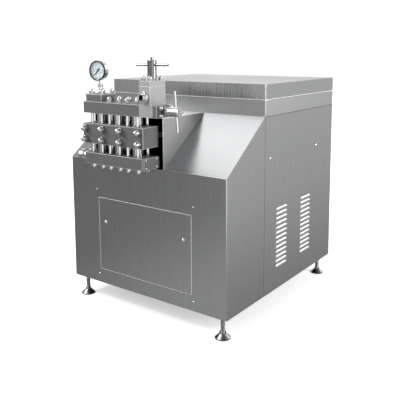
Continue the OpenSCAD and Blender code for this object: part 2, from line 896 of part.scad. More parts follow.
module suction_ball_2() {
    valve_ball(0, suct_z1);
}

module suction_ball_3() {
    valve_ball(1, suct_z1);
}

module discharge_ball_1() {
    valve_ball(-1, body_z1);
}

module discharge_ball_2() {
    valve_ball(0, body_z1);
}

module discharge_ball_3() {
    valve_ball(1, body_z1);
}

// Top face under the nuts of one stud group: the first group also holds the gauge block
function stud_top(i) = i < 0 ? gauge_block_top : disc_z1;

module tie_bolts() {
    color([0.8, 0.81, 0.82]) placed() {
        for (i = [-1 : 1], x = [-0.5, 0.5], y = [-0.5, 0.5]) {
            translate([pump_x + i * pitch + x * stud_dx, mid_y + y * stud_dy, suct_z0 - nut_grip])
                cylinder(r = stud_r, h = stud_top(i) - suct_z0 + 2 * nut_grip);
        }
        for (x = bolt_xs, z = [-0.5, 0.5]) {
            translate([pump_x + x, 0, axis_h + z * bolt_dz]) {
                translate([0, -body_d - nut_grip, 0]) rod_y(bolt_r, body_d + nut_grip + lantern_l + 40);
                rod_y(spacer_d / 2, lantern_l);
            }
        }
    }
}

module cap_nuts() {
    color([0.9, 0.91, 0.92]) placed() {
        for (i = [-1 : 1], x = [-0.5, 0.5], y = [-0.5, 0.5]) {
            translate([pump_x + i * pitch + x * stud_dx, mid_y + y * stud_dy, stud_top(i)])
                cap_nut(nut_af, stud_d, nut_grip);
            translate([pump_x + i * pitch + x * stud_dx, mid_y + y * stud_dy, suct_z0])
                mirror([0, 0, 1]) cap_nut(nut_af, stud_d, nut_grip);
        }
        for (x = [-0.5, 0.5], y = [-0.5, 0.5]) {
            translate(stage1_axis + [x * stage_dx1, y * stage_dy1, flange_t])
                cap_nut(nut_af - 4, stud_d - 4, nut_grip);
            translate(stage2_axis + [flange_t, y * stage_dy2, x * stage_dx2])
                rotate([0, 90, 0]) cap_nut(nut_af - 4, stud_d - 4, nut_grip);
        }
        for (x = bolt_xs, z = [-0.5, 0.5]) {
            translate([pump_x + x, -body_d, axis_h + z * bolt_dz])
                rotate([90, 0, 0]) cap_nut(big_nut_af, bolt_d, nut_grip);
        }
    }
}

// A pipe union along z: collar on z = 0, plain end for the pipe at l
module pipe_union(collar, end_d, l) {
    difference() {
        rotate_extrude() polygon([
            [passage_d / 2, 0], [collar / 2 - 2, 0], [collar / 2, 2], [collar / 2, l * 0.24],
            [collar / 2 - 3, l * 0.3], [end_d * 0.41, l * 0.34], [end_d * 0.41, l * 0.58],
            [end_d / 2, l * 0.62], [end_d / 2, l - 1], [end_d / 2 - 1, l], [passage_d / 2, l]
        ]);
        translate([0, 0, l - 6]) cylinder(r1 = passage_d / 2 - 0.1, r2 = passage_d / 2 + 6, h = 6.1);
    }
}

// A collar with a plain pipe end
module pipe_stub(collar, collar_l, end_d, l) {
    difference() {
        rotate_extrude() polygon([
            [passage_d / 2, 0], [collar / 2 - 2, 0], [collar / 2, 2], [collar / 2, collar_l - 2],
            [collar / 2 - 2, collar_l], [end_d / 2, collar_l], [end_d / 2, l - 1], [end_d / 2 - 1, l],
            [passage_d / 2, l]
        ]);
        translate([0, 0, l - 3]) cylinder(r1 = passage_d / 2 - 0.1, r2 = passage_d / 2 + 2, h = 3.1);
    }
}

module pipe_unions() {
    color([0.88, 0.89, 0.9]) placed() {
        translate([suct_x0, mid_y, suct_axis]) rotate([0, -90, 0]) pipe_union(union_collar, inlet_d, inlet_l);
        translate([tower_x, -body_d, outlet_h]) rotate([90, 0, 0])
            pipe_stub(outlet_d, outlet_collar_l, outlet_pipe_d, outlet_l);
    }
}

module suction_end_cover() {
    color([0.74, 0.75, 0.77]) placed() translate([suct_x1, -plate_d, suct_z0])
        block(cover_t, plate_d, plate_t, 1);
}

module packing_glands() {
    color([0.8, 0.8, 0.8]) placed() for (i = [-1 : 1]) {
        translate([pump_x + i * pitch, 0, axis_h]) difference() {
            rotate([-90, 0, 0]) rotate_extrude() polygon([
                [0, 0], [gland_r, 0], [gland_r, gland_l], [0, gland_l]
            ]);
            translate([0, -1, 0]) rod_y(plunger_d / 2 + slip, gland_l + 2);
        }
    }
}

module plunger(i) {
    y = tip_mid - phase[i] * stroke / 2;
    color([0.92, 0.92, 0.9]) placed() translate([pump_x + (i - 1) * pitch, y - tip_mid, axis_h]) {
        translate([0, tip_mid, 0]) rod_y(plunger_d / 2, collar_y - tip_mid + 1);
        translate([0, collar_y, 0]) rod_y(plunger_d / 2 + 6, collar_l);
        translate([0, rod_y - 1, 0]) rod_y(rod_d / 2 - slip, rod_end - rod_y + 1);
    }
}

module plunger_1() {
    plunger(0);
}

module plunger_2() {
    plunger(1);
}

module plunger_3() {
    plunger(2);
}

// Gauge pieces
module gauge_block() {
    color([0.8, 0.81, 0.82]) placed() difference() {
        translate([gauge_x - gauge_block_w / 2, mid_y - gauge_block_d / 2, disc_z1])
            block(gauge_block_w, gauge_block_d, gauge_block_t, edge_c);
        translate([gauge_x, mid_y, disc_z1 - 1]) cylinder(r = 4, h = gauge_block_t + 2);
        stud_pattern() translate([0, 0, disc_z1 - 1]) cylinder(r = stud_r + bolt_slip, h = gauge_block_t + 2);
    }
}

module gauge_stem() {
    color([0.82, 0.83, 0.84]) placed() translate([gauge_x, mid_y, gauge_block_top]) difference() {
        union() {
            cylinder(d = stem_hex_af / cos(30), h = 14, $fn = 6);
            translate([0, 0, 13])
                cylinder(r = stem_r, h = gauge_h - gauge_r - gauge_block_top - 12 + case_wall);
            translate([0, 0, 30]) cylinder(d = stem_hex_af / cos(30), h = 16, $fn = 6);
        }
        translate([0, 0, -1]) cylinder(r = 3, h = gauge_h - gauge_block_top);
    }
}

// The gauge's own frame: x right, y up, z out of the dial
module on_gauge() {
    placed() translate([gauge_x, mid_y, gauge_h]) rotate([0, 0, gauge_turn])
        translate([0, gauge_back - mid_y, 0]) rotate([90, 0, 0]) children();
}

module gauge_case() {
    color([0.12, 0.12, 0.13]) difference() {
        on_gauge() rotate_extrude() polygon([
            [0, 0], [gauge_r - 5, 0], [gauge_r - 2, 3], [gauge_r - 2, gauge_depth - 8],
            [gauge_r, gauge_depth - 7], [gauge_r, gauge_depth - 1], [gauge_r - 1, gauge_depth],
            [gauge_r - case_wall - 3, gauge_depth], [gauge_r - case_wall - 3, glass_z + glass_t],
            [gauge_r - case_wall - 1, glass_z + glass_t], [gauge_r - case_wall - 1, case_wall + 2],
            [0, case_wall + 2]
        ]);
        placed() translate([gauge_x, mid_y, gauge_block_top])
            cylinder(r = stem_r + slip, h = gauge_h - gauge_block_top - gauge_r + 8);
    }
}

module gauge_dial() {
    color([0.85, 0.93, 0.95]) on_gauge() {
        translate([0, 0, dial_z]) cylinder(r = dial_r - seat_slip, h = dial_t);
        translate([0, 0, case_wall + 2]) cylinder(r = gauge_r * 0.4, h = dial_z - case_wall - 1);
        translate([0, 0, dial_z]) cylinder(r = hand_pin_r, h = dial_t + hand_gap + 1.2);
    }
}

module gauge_pointer() {
    color([0.08, 0.08, 0.08]) on_gauge() translate([0, 0, dial_z + dial_t + hand_gap])
        linear_extrude(height = hand_t) difference() {
            union() {
                circle(r = 5);
                rotate([0, 0, zero_a]) polygon([
                    [-16, -2.6], [0, -2.6], [dial_r * 0.82, -0.6], [dial_r * 0.82, 0.6], [0, 2.6], [-16, 2.6]
                ]);
            }
            circle(r = hand_pin_r + slip);
        }
}

module gauge_glass() {
    color([0.8, 0.9, 0.95, 0.3]) on_gauge() translate([0, 0, glass_z])
        cylinder(r = dial_r - seat_slip, h = glass_t);
}

// Valve pieces
module valve_block() {
    color([0.78, 0.79, 0.81]) placed() difference() {
        union() {
            translate([disc_x1, -body_d, disc_z0]) block(base_x1 - disc_x1, body_d, plate_t, edge_c);
            translate([disc_x1, -body_d, disc_z1 - 4]) block(tower_w, body_d, tower_h + 4, edge_c);
        }
        translate([disc_x1 - 1, mid_y, disc_axis]) rod_x(passage_d / 2, tower_w);
        translate([tower_x, mid_y, disc_axis]) rod_x(valve_bore_r, cab_w / 4);
        translate([tower_x, mid_y, disc_axis]) cylinder(r = valve_bore_r, h = cab_w / 4);
        translate([tower_x, -body_d - 1, outlet_h]) rod_y(passage_d / 2, -mid_y);
    }
}

// A bonnet along z, its flange on z = 0
module bonnet(x, y) {
    difference() {
        union() {
            translate([-x / 2, -y / 2, 0]) block(x, y, flange_t, 1);
            translate([0, 0, flange_t - 1]) cylinder(r = neck_r, h = neck_l + 1);
        }
        translate([0, 0, -1]) cylinder(r = spindle_r + slip, h = flange_t + neck_l + 2);
    }
}

// A hand screw along z, from the flange face of its bonnet
module hand_screw(turn) {
    difference() {
        union() {
            translate([0, 0, flange_t + hub_gap]) cylinder(d = hub_d, h = hub_l - 2);
            translate([0, 0, hub_top - 2]) cylinder(r1 = hub_d / 2, r2 = hub_d / 2 - 2, h = 2);
        }
        translate([0, 0, flange_t + hub_gap - 1]) cylinder(r = neck_r + slip, h = hub_bore_l + 1);
    }
    translate([0, 0, -plug_z]) cylinder(r = spindle_r, h = flange_t + hub_gap + hub_bore_l + plug_z + 2);
    translate([0, 0, hub_top - 1]) cylinder(r = tip_r, h = tip_l + 1);
    rotate([0, 0, turn]) translate([-tbar_l / 2, 0, tbar_z]) rod_x(tbar_d / 2, tbar_l);
}

module valve_plug() {
    translate([0, 0, -plug_z - plug_l]) cylinder(r = plug_r, h = plug_l);
}

module on_stage1() {
    placed() translate(stage1_axis) children();
}

module on_stage2() {
    placed() translate(stage2_axis) rotate([0, 90, 0]) children();
}

module stage1_bonnet() {
    color([0.8, 0.81, 0.82]) on_stage1() bonnet(tower_w, body_d);
}

module stage1_handle() {
    color([0.88, 0.89, 0.9]) on_stage1() hand_screw(0);
}

module stage1_plug() {
    color([0.7, 0.7, 0.72]) on_stage1() valve_plug();
}

module stage2_bonnet() {
    color([0.8, 0.81, 0.82]) on_stage2() bonnet(plate_t, body_d);
}

module stage2_handle() {
    color([0.88, 0.89, 0.9]) on_stage2() hand_screw(tbar_tilt);
}

module stage2_plug() {
    color([0.7, 0.7, 0.72]) on_stage2() valve_plug();
}

// Drive pieces
module crankcase() {
    color([0.35, 0.42, 0.45]) placed() difference() {
        union() {
            translate([pump_x - crank_w / 2, lantern_l, crank_z0])
                block(crank_w, crank_d, guide_z1 - crank_z0, 12);
            translate([pump_x - crank_w / 2, box_y, crank_z0])
                block(crank_w, lantern_l + crank_d - box_y, crank_z1 - 20 - crank_z0, 12);
            translate([pump_x - crank_w / 2 + 20, box_y + 20, crank_z1 - 40])
                block(crank_w - 40, lantern_l + crank_d - box_y - 40, 40, 4);
            translate([pump_x - crank_w / 2 - 12, crank_y, axis_h]) rod_x(shaft_d * 0.85, crank_w + 24);
            for (y = [leg_y0, leg_y1]) {
                translate([pump_x - crank_w / 2, y, crank_z0]) cube([crank_w, tube_w, 24]);
            }
        }
        translate([pump_x - crank_w / 2 + 40, crank_y, axis_h]) rod_x(shaft_d / 2 + slip, crank_w);
        for (i = [-1 : 1]) {
            translate([pump_x + i * pitch, lantern_l - 1, axis_h])
                rod_y(rod_d / 2, rod_bore_end - lantern_l + 1);
        }
        for (x = bolt_xs, z = [-0.5, 0.5]) {
            translate([pump_x + x, lantern_l - 1, axis_h + z * bolt_dz]) rod_y(bolt_r + bolt_slip, 44);
        }
    }
}

// A grooved pulley along x, its left face at x = 0
module grooved_pulley(r, hub_r) {
    rotate([0, 90, 0]) difference() {
        cylinder(r = r, h = pulley_w);
        for (i = [0 : belt_n - 1]) {
            translate([0, 0, pulley_rim + i * belt_step + belt_gap / 2 - bolt_slip]) difference() {
                cylinder(r = r + 1, h = belt_w + 2 * bolt_slip);
                translate([0, 0, -1]) cylinder(r = r - groove_d, h = belt_w + 3);
            }
        }
        if (r > 3 * hub_r) {
            for (z = [-1, pulley_w - 30]) {
                translate([0, 0, z]) difference() {
                    cylinder(r = r - groove_d - 14, h = 31);
                    translate([0, 0, -1]) cylinder(r = hub_r, h = 33);
                }
            }
        }
    }
}

module crankshaft_pulley() {
    color([0.3, 0.3, 0.32]) placed() translate([0, crank_y, axis_h]) {
        translate([pump_x - crank_w / 2 + 44, 0, 0])
            rod_x(shaft_d / 2, pulley_x + pulley_w + 8 - pump_x + crank_w / 2 - 44);
        translate([pulley_x, 0, 0]) grooved_pulley(big_r, shaft_d * 0.8);
    }
}

// Outline of one belt round both pulleys, in the plane of the pulleys
module belt_outline(inset) {
    hull() {
        translate([crank_y, axis_h]) circle(r = big_r - inset, $fn = 72);
        translate([motor_y, motor_axis]) circle(r = small_r - inset, $fn = 48);
    }
}

module v_belts() {
    color([0.06, 0.06, 0.06]) placed() for (i = [0 : belt_n - 1]) {
        translate([pulley_x + pulley_rim + i * belt_step + belt_gap / 2, 0, 0]) rotate([90, 0, 90])
            linear_extrude(height = belt_w) difference() {
                belt_outline(1);
                belt_outline(1 + belt_h);
            }
    }
}

module motor() {
    color([0.3, 0.38, 0.44]) placed() difference() {
        union() {
            translate([motor_x0, motor_y, motor_axis]) rotate([90, 0, 90]) linear_extrude(height = motor_l) {
                circle(r = motor_d / 2 - 18);
                for (i = [0 : rib_n - 1]) {
                    rotate([0, 0, i * 360 / rib_n]) translate([0, -2]) square([motor_d / 2, 4]);
                }
            }
            translate([motor_x1 - 26, motor_y, motor_axis]) rod_x(motor_d / 2 - 2, 26);
            translate([motor_x0 - cowl_l, motor_y, motor_axis]) rod_x(motor_d / 2 - 4, cowl_l + 4);
            translate([motor_x0 + motor_l * 0.35, motor_y - 70, motor_axis + motor_d / 2 - 40])
                cube([120, 140, 90]);
            for (x = [motor_x0 + 30, motor_x1 - 90], y = [-1, 1]) {
                translate([x, motor_y + y * motor_rail_dy - tube_w / 2, rail_top]) cube([60, tube_w, 18]);
                translate([x, motor_y + y * (motor_rail_dy - 30) - 10, rail_top])
                    cube([60, 20, motor_h - 40]);
            }
        }
        translate([motor_x0 + motor_l * 0.5, motor_y, motor_axis]) rod_x(motor_shaft_d / 2 + slip, motor_l);
    }
}

module motor_pulley() {
    color([0.3, 0.3, 0.32]) placed() translate([0, motor_y, motor_axis]) {
        translate([motor_x0 + motor_l * 0.5 + 4, 0, 0])
            rod_x(motor_shaft_d / 2, pulley_x + pulley_w - motor_x0 - motor_l * 0.5);
        translate([pulley_x, 0, 0]) grooved_pulley(small_r, motor_shaft_d * 0.8);
    }
}

frame_side_rails();
frame_cross_rails();
frame_uprights();
foot_front_left();
foot_front_right();
foot_rear_left();
foot_rear_right();
front_shell();
slope_panels();
pump_hood();
upper_band();
top_cover();
rear_panel();
front_door();
front_lock_left();
front_lock_right();
right_side_panel();
right_lock_front();
right_lock_rear();
left_side_panel();
left_lock_front();
left_lock_rear();
small_screws();
cable_gland();
pump_body();
discharge_plate();
suction_plate();
valve_barrels();
tie_bolts();
cap_nuts();
suction_ball_1();
suction_ball_2();
suction_ball_3();
discharge_ball_1();
discharge_ball_2();
discharge_ball_3();
pipe_unions();
suction_end_cover();
packing_glands();
plunger_1();
plunger_2();
plunger_3();
gauge_block();
gauge_stem();
gauge_case();
gauge_dial();
gauge_pointer();
gauge_glass();
valve_block();
stage1_bonnet();
stage1_handle();
stage1_plug();
stage2_bonnet();
stage2_handle();
stage2_plug();
crankcase();
crankshaft_pulley();
v_belts();
motor();
motor_pulley();
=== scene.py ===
import json
import math

import bmesh
import bpy
from mathutils import Matrix, Vector


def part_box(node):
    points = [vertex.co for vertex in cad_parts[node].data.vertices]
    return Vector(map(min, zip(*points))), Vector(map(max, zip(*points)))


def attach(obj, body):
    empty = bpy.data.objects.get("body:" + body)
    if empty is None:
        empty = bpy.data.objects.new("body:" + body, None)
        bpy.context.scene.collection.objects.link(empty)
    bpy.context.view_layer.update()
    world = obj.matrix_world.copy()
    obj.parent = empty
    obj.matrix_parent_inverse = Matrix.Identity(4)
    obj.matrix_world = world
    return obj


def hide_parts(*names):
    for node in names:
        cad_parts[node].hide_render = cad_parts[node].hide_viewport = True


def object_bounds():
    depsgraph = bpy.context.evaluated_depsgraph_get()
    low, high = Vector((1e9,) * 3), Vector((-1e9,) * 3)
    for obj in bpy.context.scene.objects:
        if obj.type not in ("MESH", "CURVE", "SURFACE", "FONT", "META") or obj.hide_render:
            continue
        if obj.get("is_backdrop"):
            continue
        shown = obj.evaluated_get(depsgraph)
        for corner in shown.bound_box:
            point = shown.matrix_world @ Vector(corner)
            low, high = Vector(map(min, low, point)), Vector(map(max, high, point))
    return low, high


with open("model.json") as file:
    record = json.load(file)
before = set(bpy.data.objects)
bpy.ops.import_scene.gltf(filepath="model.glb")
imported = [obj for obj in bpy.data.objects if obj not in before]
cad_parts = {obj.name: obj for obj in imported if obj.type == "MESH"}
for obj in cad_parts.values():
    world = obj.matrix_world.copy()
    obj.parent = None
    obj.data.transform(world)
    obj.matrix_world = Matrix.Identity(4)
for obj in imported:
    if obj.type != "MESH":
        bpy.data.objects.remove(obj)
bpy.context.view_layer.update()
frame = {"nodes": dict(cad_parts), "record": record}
NODES = frame["nodes"]
SLOTS = {s["node"]: s["material_slot"] for s in frame["record"]["subparts"]}
BODY = {n: b for b, ns in frame["record"]["behaviour"]["bodies"].items() for n in ns}
scene = bpy.context.scene

# Places shared with the solids: a front lock stands on the front face, at a known height on the cabinet
LOCK_HEIGHT = 0.337
JOINTS = {j["name"]: j for j in frame["record"]["behaviour"]["joints"]}
FRONT_Y = JOINTS["front_lock_left_turn"]["pos_m"][1]
LOWER_EDGE_Z = JOINTS["front_lock_left_turn"]["pos_m"][2] - LOCK_HEIGHT


def at(x, y, z):
    """A point given from the cabinet's middle, front face and lower edge, in millimetres."""
    return Vector((x / 1000, y / 1000 + FRONT_Y, z / 1000 + LOWER_EDGE_Z))


# The gauge's own frame: its pointer's axis runs into the dial
POINTER = JOINTS["gauge_pointer_turn"]
GAUGE_FACING = -Vector(POINTER["axis"]).normalized()
GAUGE_MIDDLE = Vector(POINTER["pos_m"])
GAUGE_SIDE = Vector((0, 0, 1)).cross(GAUGE_FACING)
RING_AHEAD = 0.0018
GAUGE_RING = GAUGE_MIDDLE + GAUGE_FACING * RING_AHEAD


# Shader groups shared by the finishes
def new_group(name, inputs, outputs):
    tree = bpy.data.node_groups.new(name, "ShaderNodeTree")
    for label, kind, value in inputs:
        socket = tree.interface.new_socket(label, in_out="INPUT", socket_type=kind)
        socket.default_value = value
    for label, kind in outputs:
        tree.interface.new_socket(label, in_out="OUTPUT", socket_type=kind)
    source = tree.nodes.new("NodeGroupInput")
    sink = tree.nodes.new("NodeGroupOutput")
    return tree, source, sink


def feed(tree, socket, value):
    """Links another node's socket, or sets a plain value."""
    if isinstance(value, bpy.types.NodeSocket):
        tree.links.new(value, socket)
    else:
        socket.default_value = value


def math_node(tree, kind, a, b=None, clamp=False):
    node = tree.nodes.new("ShaderNodeMath")
    node.operation = kind
    node.use_clamp = clamp
    for socket, value in zip(node.inputs, (a, b)):
        if value is not None:
            feed(tree, socket, value)
    return node.outputs[0]


def vector_node(tree, kind, a, b=None):
    node = tree.nodes.new("ShaderNodeVectorMath")
    node.operation = kind
    for socket, value in zip(node.inputs, (a, b)):
        if value is not None:
            feed(tree, socket, value)
    return node.outputs


def split_vector(tree, vector):
    node = tree.nodes.new("ShaderNodeSeparateXYZ")
    tree.links.new(vector, node.inputs[0])
    return node.outputs


def scaled_noise(tree, position, scale, detail=4.0, rough=0.55):
    mapping = tree.nodes.new("ShaderNodeMapping")
    mapping.inputs["Scale"].default_value = scale
    tree.links.new(position, mapping.inputs["Vector"])
    noise = tree.nodes.new("ShaderNodeTexNoise")
    noise.inputs["Scale"].default_value = 1.0
    noise.inputs["Detail"].default_value = detail
    noise.inputs["Roughness"].default_value = rough
    tree.links.new(mapping.outputs["Vector"], noise.inputs["Vector"])
    return noise.outputs["Fac"]


GRAIN_FINE, GRAIN_LONG = 700.0, 2.0
NEAR_STRAIGHT = 0.9


def brushed_grain_group():
    """Fine upright brush lines on the walls, and lines from front to back on level sheet."""
    tree, _, sink = new_group("BrushedGrain", [], [("Lines", "NodeSocketFloat")])
    coord = tree.nodes.new("ShaderNodeTexCoord")
    geometry = tree.nodes.new("ShaderNodeNewGeometry")
    normal = split_vector(tree, geometry.outputs["Normal"])
    level = math_node(tree, "GREATER_THAN", math_node(tree, "ABSOLUTE", normal["Z"]), NEAR_STRAIGHT)
    upright = scaled_noise(tree, coord.outputs["Object"], (GRAIN_FINE, GRAIN_FINE, GRAIN_LONG))
    flat = scaled_noise(tree, coord.outputs["Object"], (GRAIN_FINE, GRAIN_LONG, GRAIN_LONG))
    mix = tree.nodes.new("ShaderNodeMix")
    mix.data_type = "FLOAT"
    tree.links.new(level, mix.inputs[0])
    tree.links.new(upright, mix.inputs[2])
    tree.links.new(flat, mix.inputs[3])
    tree.links.new(mix.outputs[0], sink.inputs["Lines"])
    return tree


def mottle_group():
    """Fine and broad mottling for ground, cast and painted surfaces."""
    tree, source, sink = new_group(
        "Mottle", [("Fine Scale", "NodeSocketFloat", 400.0), ("Broad Scale", "NodeSocketFloat", 12.0)],
        [("Fine", "NodeSocketFloat"), ("Broad", "NodeSocketFloat")],
    )
    coord = tree.nodes.new("ShaderNodeTexCoord")
    for label, out, detail in (("Fine Scale", "Fine", 3.0), ("Broad Scale", "Broad", 4.0)):
        noise = tree.nodes.new("ShaderNodeTexNoise")
        noise.inputs["Detail"].default_value = detail
        tree.links.new(coord.outputs["Object"], noise.inputs["Vector"])
        tree.links.new(source.outputs[label], noise.inputs["Scale"])
        tree.links.new(noise.outputs["Fac"], sink.inputs[out])
    return tree


def edge_highlight_group():
    """Painted highlight on broken edges, from the mark that softened() leaves on them."""
    tree, source, sink = new_group(
        "RubbedEdges", [("Amount", "NodeSocketFloat", 0.7)], [("Edge", "NodeSocketFloat")],
    )
    mark = tree.nodes.new("ShaderNodeAttribute")
    mark.attribute_name = "broken_edge"
    gain = math_node(tree, "MULTIPLY", mark.outputs["Fac"], source.outputs["Amount"], clamp=True)
    tree.links.new(gain, sink.inputs["Edge"])
    return tree


def box_mask_group():
    """One inside an upright box, nought outside it."""
    tree, source, sink = new_group(
        "BoxMask",
        [("Middle", "NodeSocketVector", (0, 0, 0)), ("Half Size", "NodeSocketVector", (1, 1, 1))],
        [("Inside", "NodeSocketFloat")],
    )
    coord = tree.nodes.new("ShaderNodeTexCoord")
    away = vector_node(tree, "SUBTRACT", coord.outputs["Object"], source.outputs["Middle"])
    size = vector_node(tree, "ABSOLUTE", away["Vector"])
    spare = vector_node(tree, "SUBTRACT", source.outputs["Half Size"], size["Vector"])
    side = split_vector(tree, spare["Vector"])
    least = math_node(tree, "MINIMUM", side["X"], side["Y"])
    least = math_node(tree, "MINIMUM", least, side["Z"])
    inside = math_node(tree, "GREATER_THAN", least, 0.0)
    tree.links.new(inside, sink.inputs["Inside"])
    return tree


def tilt_group():
    """One where an upright side panel's face turns away from straight sideways."""
    tree, _, sink = new_group("PressedFaces", [], [("Tilted", "NodeSocketFloat")])
    geometry = tree.nodes.new("ShaderNodeNewGeometry")
    normal = split_vector(tree, geometry.outputs["Normal"])
    sideways = math_node(tree, "ABSOLUTE", normal["X"])
    tree.links.new(math_node(tree, "LESS_THAN", sideways, NEAR_STRAIGHT), sink.inputs["Tilted"])
    return tree


BRUSH = brushed_grain_group()
TILT = tilt_group()
BOX = box_mask_group()
MOTTLE = mottle_group()
EDGE_HIGHLIGHT = edge_highlight_group()

NOISE_LOW, NOISE_HIGH = 0.3, 0.7
# Strength of the painted edge highlight on sheet and on steel, then the painted highlight's colour
SHEET_EDGE_HIGHLIGHT, STEEL_EDGE_HIGHLIGHT = 0.8, 0.4
PAINTED_HIGHLIGHT = (0.8, 0.8, 0.81)
# Where a highlight is painted, the sheet is made that much less metallic so the painted colour shows
EDGE_DULLING = 0.8
# Black for the gauge's front ring, and the painted shade inside the pump hood
PLAIN_BLACK = (0.012, 0.012, 0.013)
# Bumps are given as strength and depth in metres
BRUSH_BUMP, BRUSH_STRETCH = (0.05, 0.0002), 0.45
STEEL_BUMP = (0.06, 0.0002)
PAINT_DEPTH = 0.0003


class Finish:
    """A node material with helpers that keep each recipe short."""

    def __init__(self, name, metallic=0.0, roughness=0.5):
        self.mat = bpy.data.materials.new(name)
        self.mat.use_nodes = True
        self.tree = self.mat.node_tree
        self.shader = self.tree.nodes["Principled BSDF"]
        self.shader.inputs["Metallic"].default_value = metallic
        self.shader.inputs["Roughness"].default_value = roughness

    def group(self, tree, **values):
        node = self.tree.nodes.new("ShaderNodeGroup")
        node.node_tree = tree
        for label, value in values.items():
            node.inputs[label.replace("_", " ")].default_value = value
        return node

    def within(self, low, high):
        """A mask that is one inside an upright box."""
        box = self.group(BOX, Middle=(low + high) / 2, Half_Size=(high - low) / 2)
        return box.outputs["Inside"]

    def ramp(self, value, low, high, socket):
        """Drives a plain socket from low to high."""
        node = self.tree.nodes.new("ShaderNodeMapRange")
        node.inputs["From Min"].default_value = NOISE_LOW
        node.inputs["From Max"].default_value = NOISE_HIGH
        node.inputs["To Min"].default_value = low
        node.inputs["To Max"].default_value = high
        self.tree.links.new(value, node.inputs["Value"])
        self.tree.links.new(node.outputs["Result"], self.shader.inputs[socket])

    def colours(self, value, dark, light, then=None, third=None):
        """Drives the base colour, with an optional second mask for a third colour."""
        ramp = self.tree.nodes.new("ShaderNodeValToRGB")
        low, high = ramp.color_ramp.elements
        low.position, high.position = NOISE_LOW, NOISE_HIGH
        low.color, high.color = (*dark, 1), (*light, 1)
        self.tree.links.new(value, ramp.inputs[0])
        out = ramp.outputs["Color"]
        if then is not None:
            mix = self.tree.nodes.new("ShaderNodeMix")
            mix.data_type = "RGBA"
            self.tree.links.new(then, mix.inputs[0])
            self.tree.links.new(out, mix.inputs[6])
            mix.inputs[7].default_value = (*third, 1)
            out = mix.outputs[2]
        self.tree.links.new(out, self.shader.inputs["Base Color"])

    def bump(self, value, strength, distance):
        node = self.tree.nodes.new("ShaderNodeBump")
        node.inputs["Strength"].default_value = strength
        node.inputs["Distance"].default_value = distance
        self.tree.links.new(value, node.inputs["Height"])
        self.tree.links.new(node.outputs["Normal"], self.shader.inputs["Normal"])


def brushed_sheet(name, dark, light, rough_low, rough_high, inside=None, rim=None, pressed=None):
    """Brushed sheet; painted black shade inside a box, or a painted highlight outside a rim's box or on
    a box's pressed faces, else on the broken edges.
    """
    f = Finish(name, metallic=1.0)
    grain = f.group(BRUSH)
    if inside:
        f.colours(grain.outputs["Lines"], dark, light, f.within(*inside), PLAIN_BLACK)
    else:
        if rim:
            bright = math_node(f.tree, "SUBTRACT", 1.0, f.within(*rim))
        elif pressed:
            bright = math_node(f.tree, "MULTIPLY", f.group(TILT).outputs["Tilted"], f.within(*pressed))
        else:
            bright = f.group(EDGE_HIGHLIGHT, Amount=SHEET_EDGE_HIGHLIGHT).outputs["Edge"]
        f.colours(grain.outputs["Lines"], dark, light, bright, PAINTED_HIGHLIGHT)
        metal = math_node(f.tree, "MULTIPLY", bright, -EDGE_DULLING)
        f.tree.links.new(math_node(f.tree, "ADD", metal, 1.0), f.shader.inputs["Metallic"])
    f.ramp(grain.outputs["Lines"], rough_low, rough_high, "Roughness")
    f.bump(grain.outputs["Lines"], *BRUSH_BUMP)
    f.shader.inputs["Anisotropic"].default_value = BRUSH_STRETCH
    tangent = f.tree.nodes.new("ShaderNodeTangent")
    tangent.direction_type = "RADIAL"
    tangent.axis = "Z"
    f.tree.links.new(tangent.outputs[0], f.shader.inputs["Tangent"])
    return f.mat


def ground_steel(name, dark, light, rough_low, rough_high, fine=600.0, metallic=1.0):
    f = Finish(name, metallic=metallic)
    mottle = f.group(MOTTLE, Fine_Scale=fine, Broad_Scale=20.0)
    painted_edge = f.group(EDGE_HIGHLIGHT, Amount=STEEL_EDGE_HIGHLIGHT)
    f.colours(mottle.outputs["Fine"], dark, light, painted_edge.outputs["Edge"], PAINTED_HIGHLIGHT)
    f.ramp(mottle.outputs["Broad"], rough_low, rough_high, "Roughness")
    f.bump(mottle.outputs["Fine"], *STEEL_BUMP)
    return f.mat


def painted(name, dark, light, rough_low, rough_high, fine=300.0, bump=0.15):
    f = Finish(name)
    mottle = f.group(MOTTLE, Fine_Scale=fine, Broad_Scale=9.0)
    f.colours(mottle.outputs["Broad"], dark, light)
    f.ramp(mottle.outputs["Fine"], rough_low, rough_high, "Roughness")
    f.bump(mottle.outputs["Fine"], bump, PAINT_DEPTH)
    return f.mat


def gauge_case_finish():
    """Polished steel with a black front ring."""
    f = Finish("gauge_case_steel_black_ring", metallic=1.0, roughness=0.2)
    coord = f.tree.nodes.new("ShaderNodeTexCoord")
    along = vector_node(f.tree, "DOT_PRODUCT", coord.outputs["Object"], GAUGE_FACING)
    ring = math_node(f.tree, "GREATER_THAN", along["Value"], GAUGE_RING.dot(GAUGE_FACING))
    mottle = f.group(MOTTLE, Fine_Scale=200.0, Broad_Scale=20.0)
    f.colours(mottle.outputs["Fine"], (0.6, 0.605, 0.61), (0.68, 0.685, 0.69), ring, PLAIN_BLACK)
    f.ramp(mottle.outputs["Broad"], 0.16, 0.24, "Roughness")
    metal = math_node(f.tree, "SUBTRACT", 1.0, ring)
    f.tree.links.new(metal, f.shader.inputs["Metallic"])
    return f.mat


def clear_glass():
    f = Finish("gauge_window", roughness=0.03)
    f.shader.inputs["Base Color"].default_value = (0.93, 0.97, 0.98, 1)
    f.shader.inputs["Transmission Weight"].default_value = 1.0
    f.shader.inputs["IOR"].default_value = 1.1
    mottle = f.group(MOTTLE, Fine_Scale=900.0, Broad_Scale=30.0)
    f.ramp(mottle.outputs["Broad"], 0.01, 0.04, "Roughness")
    return f.mat


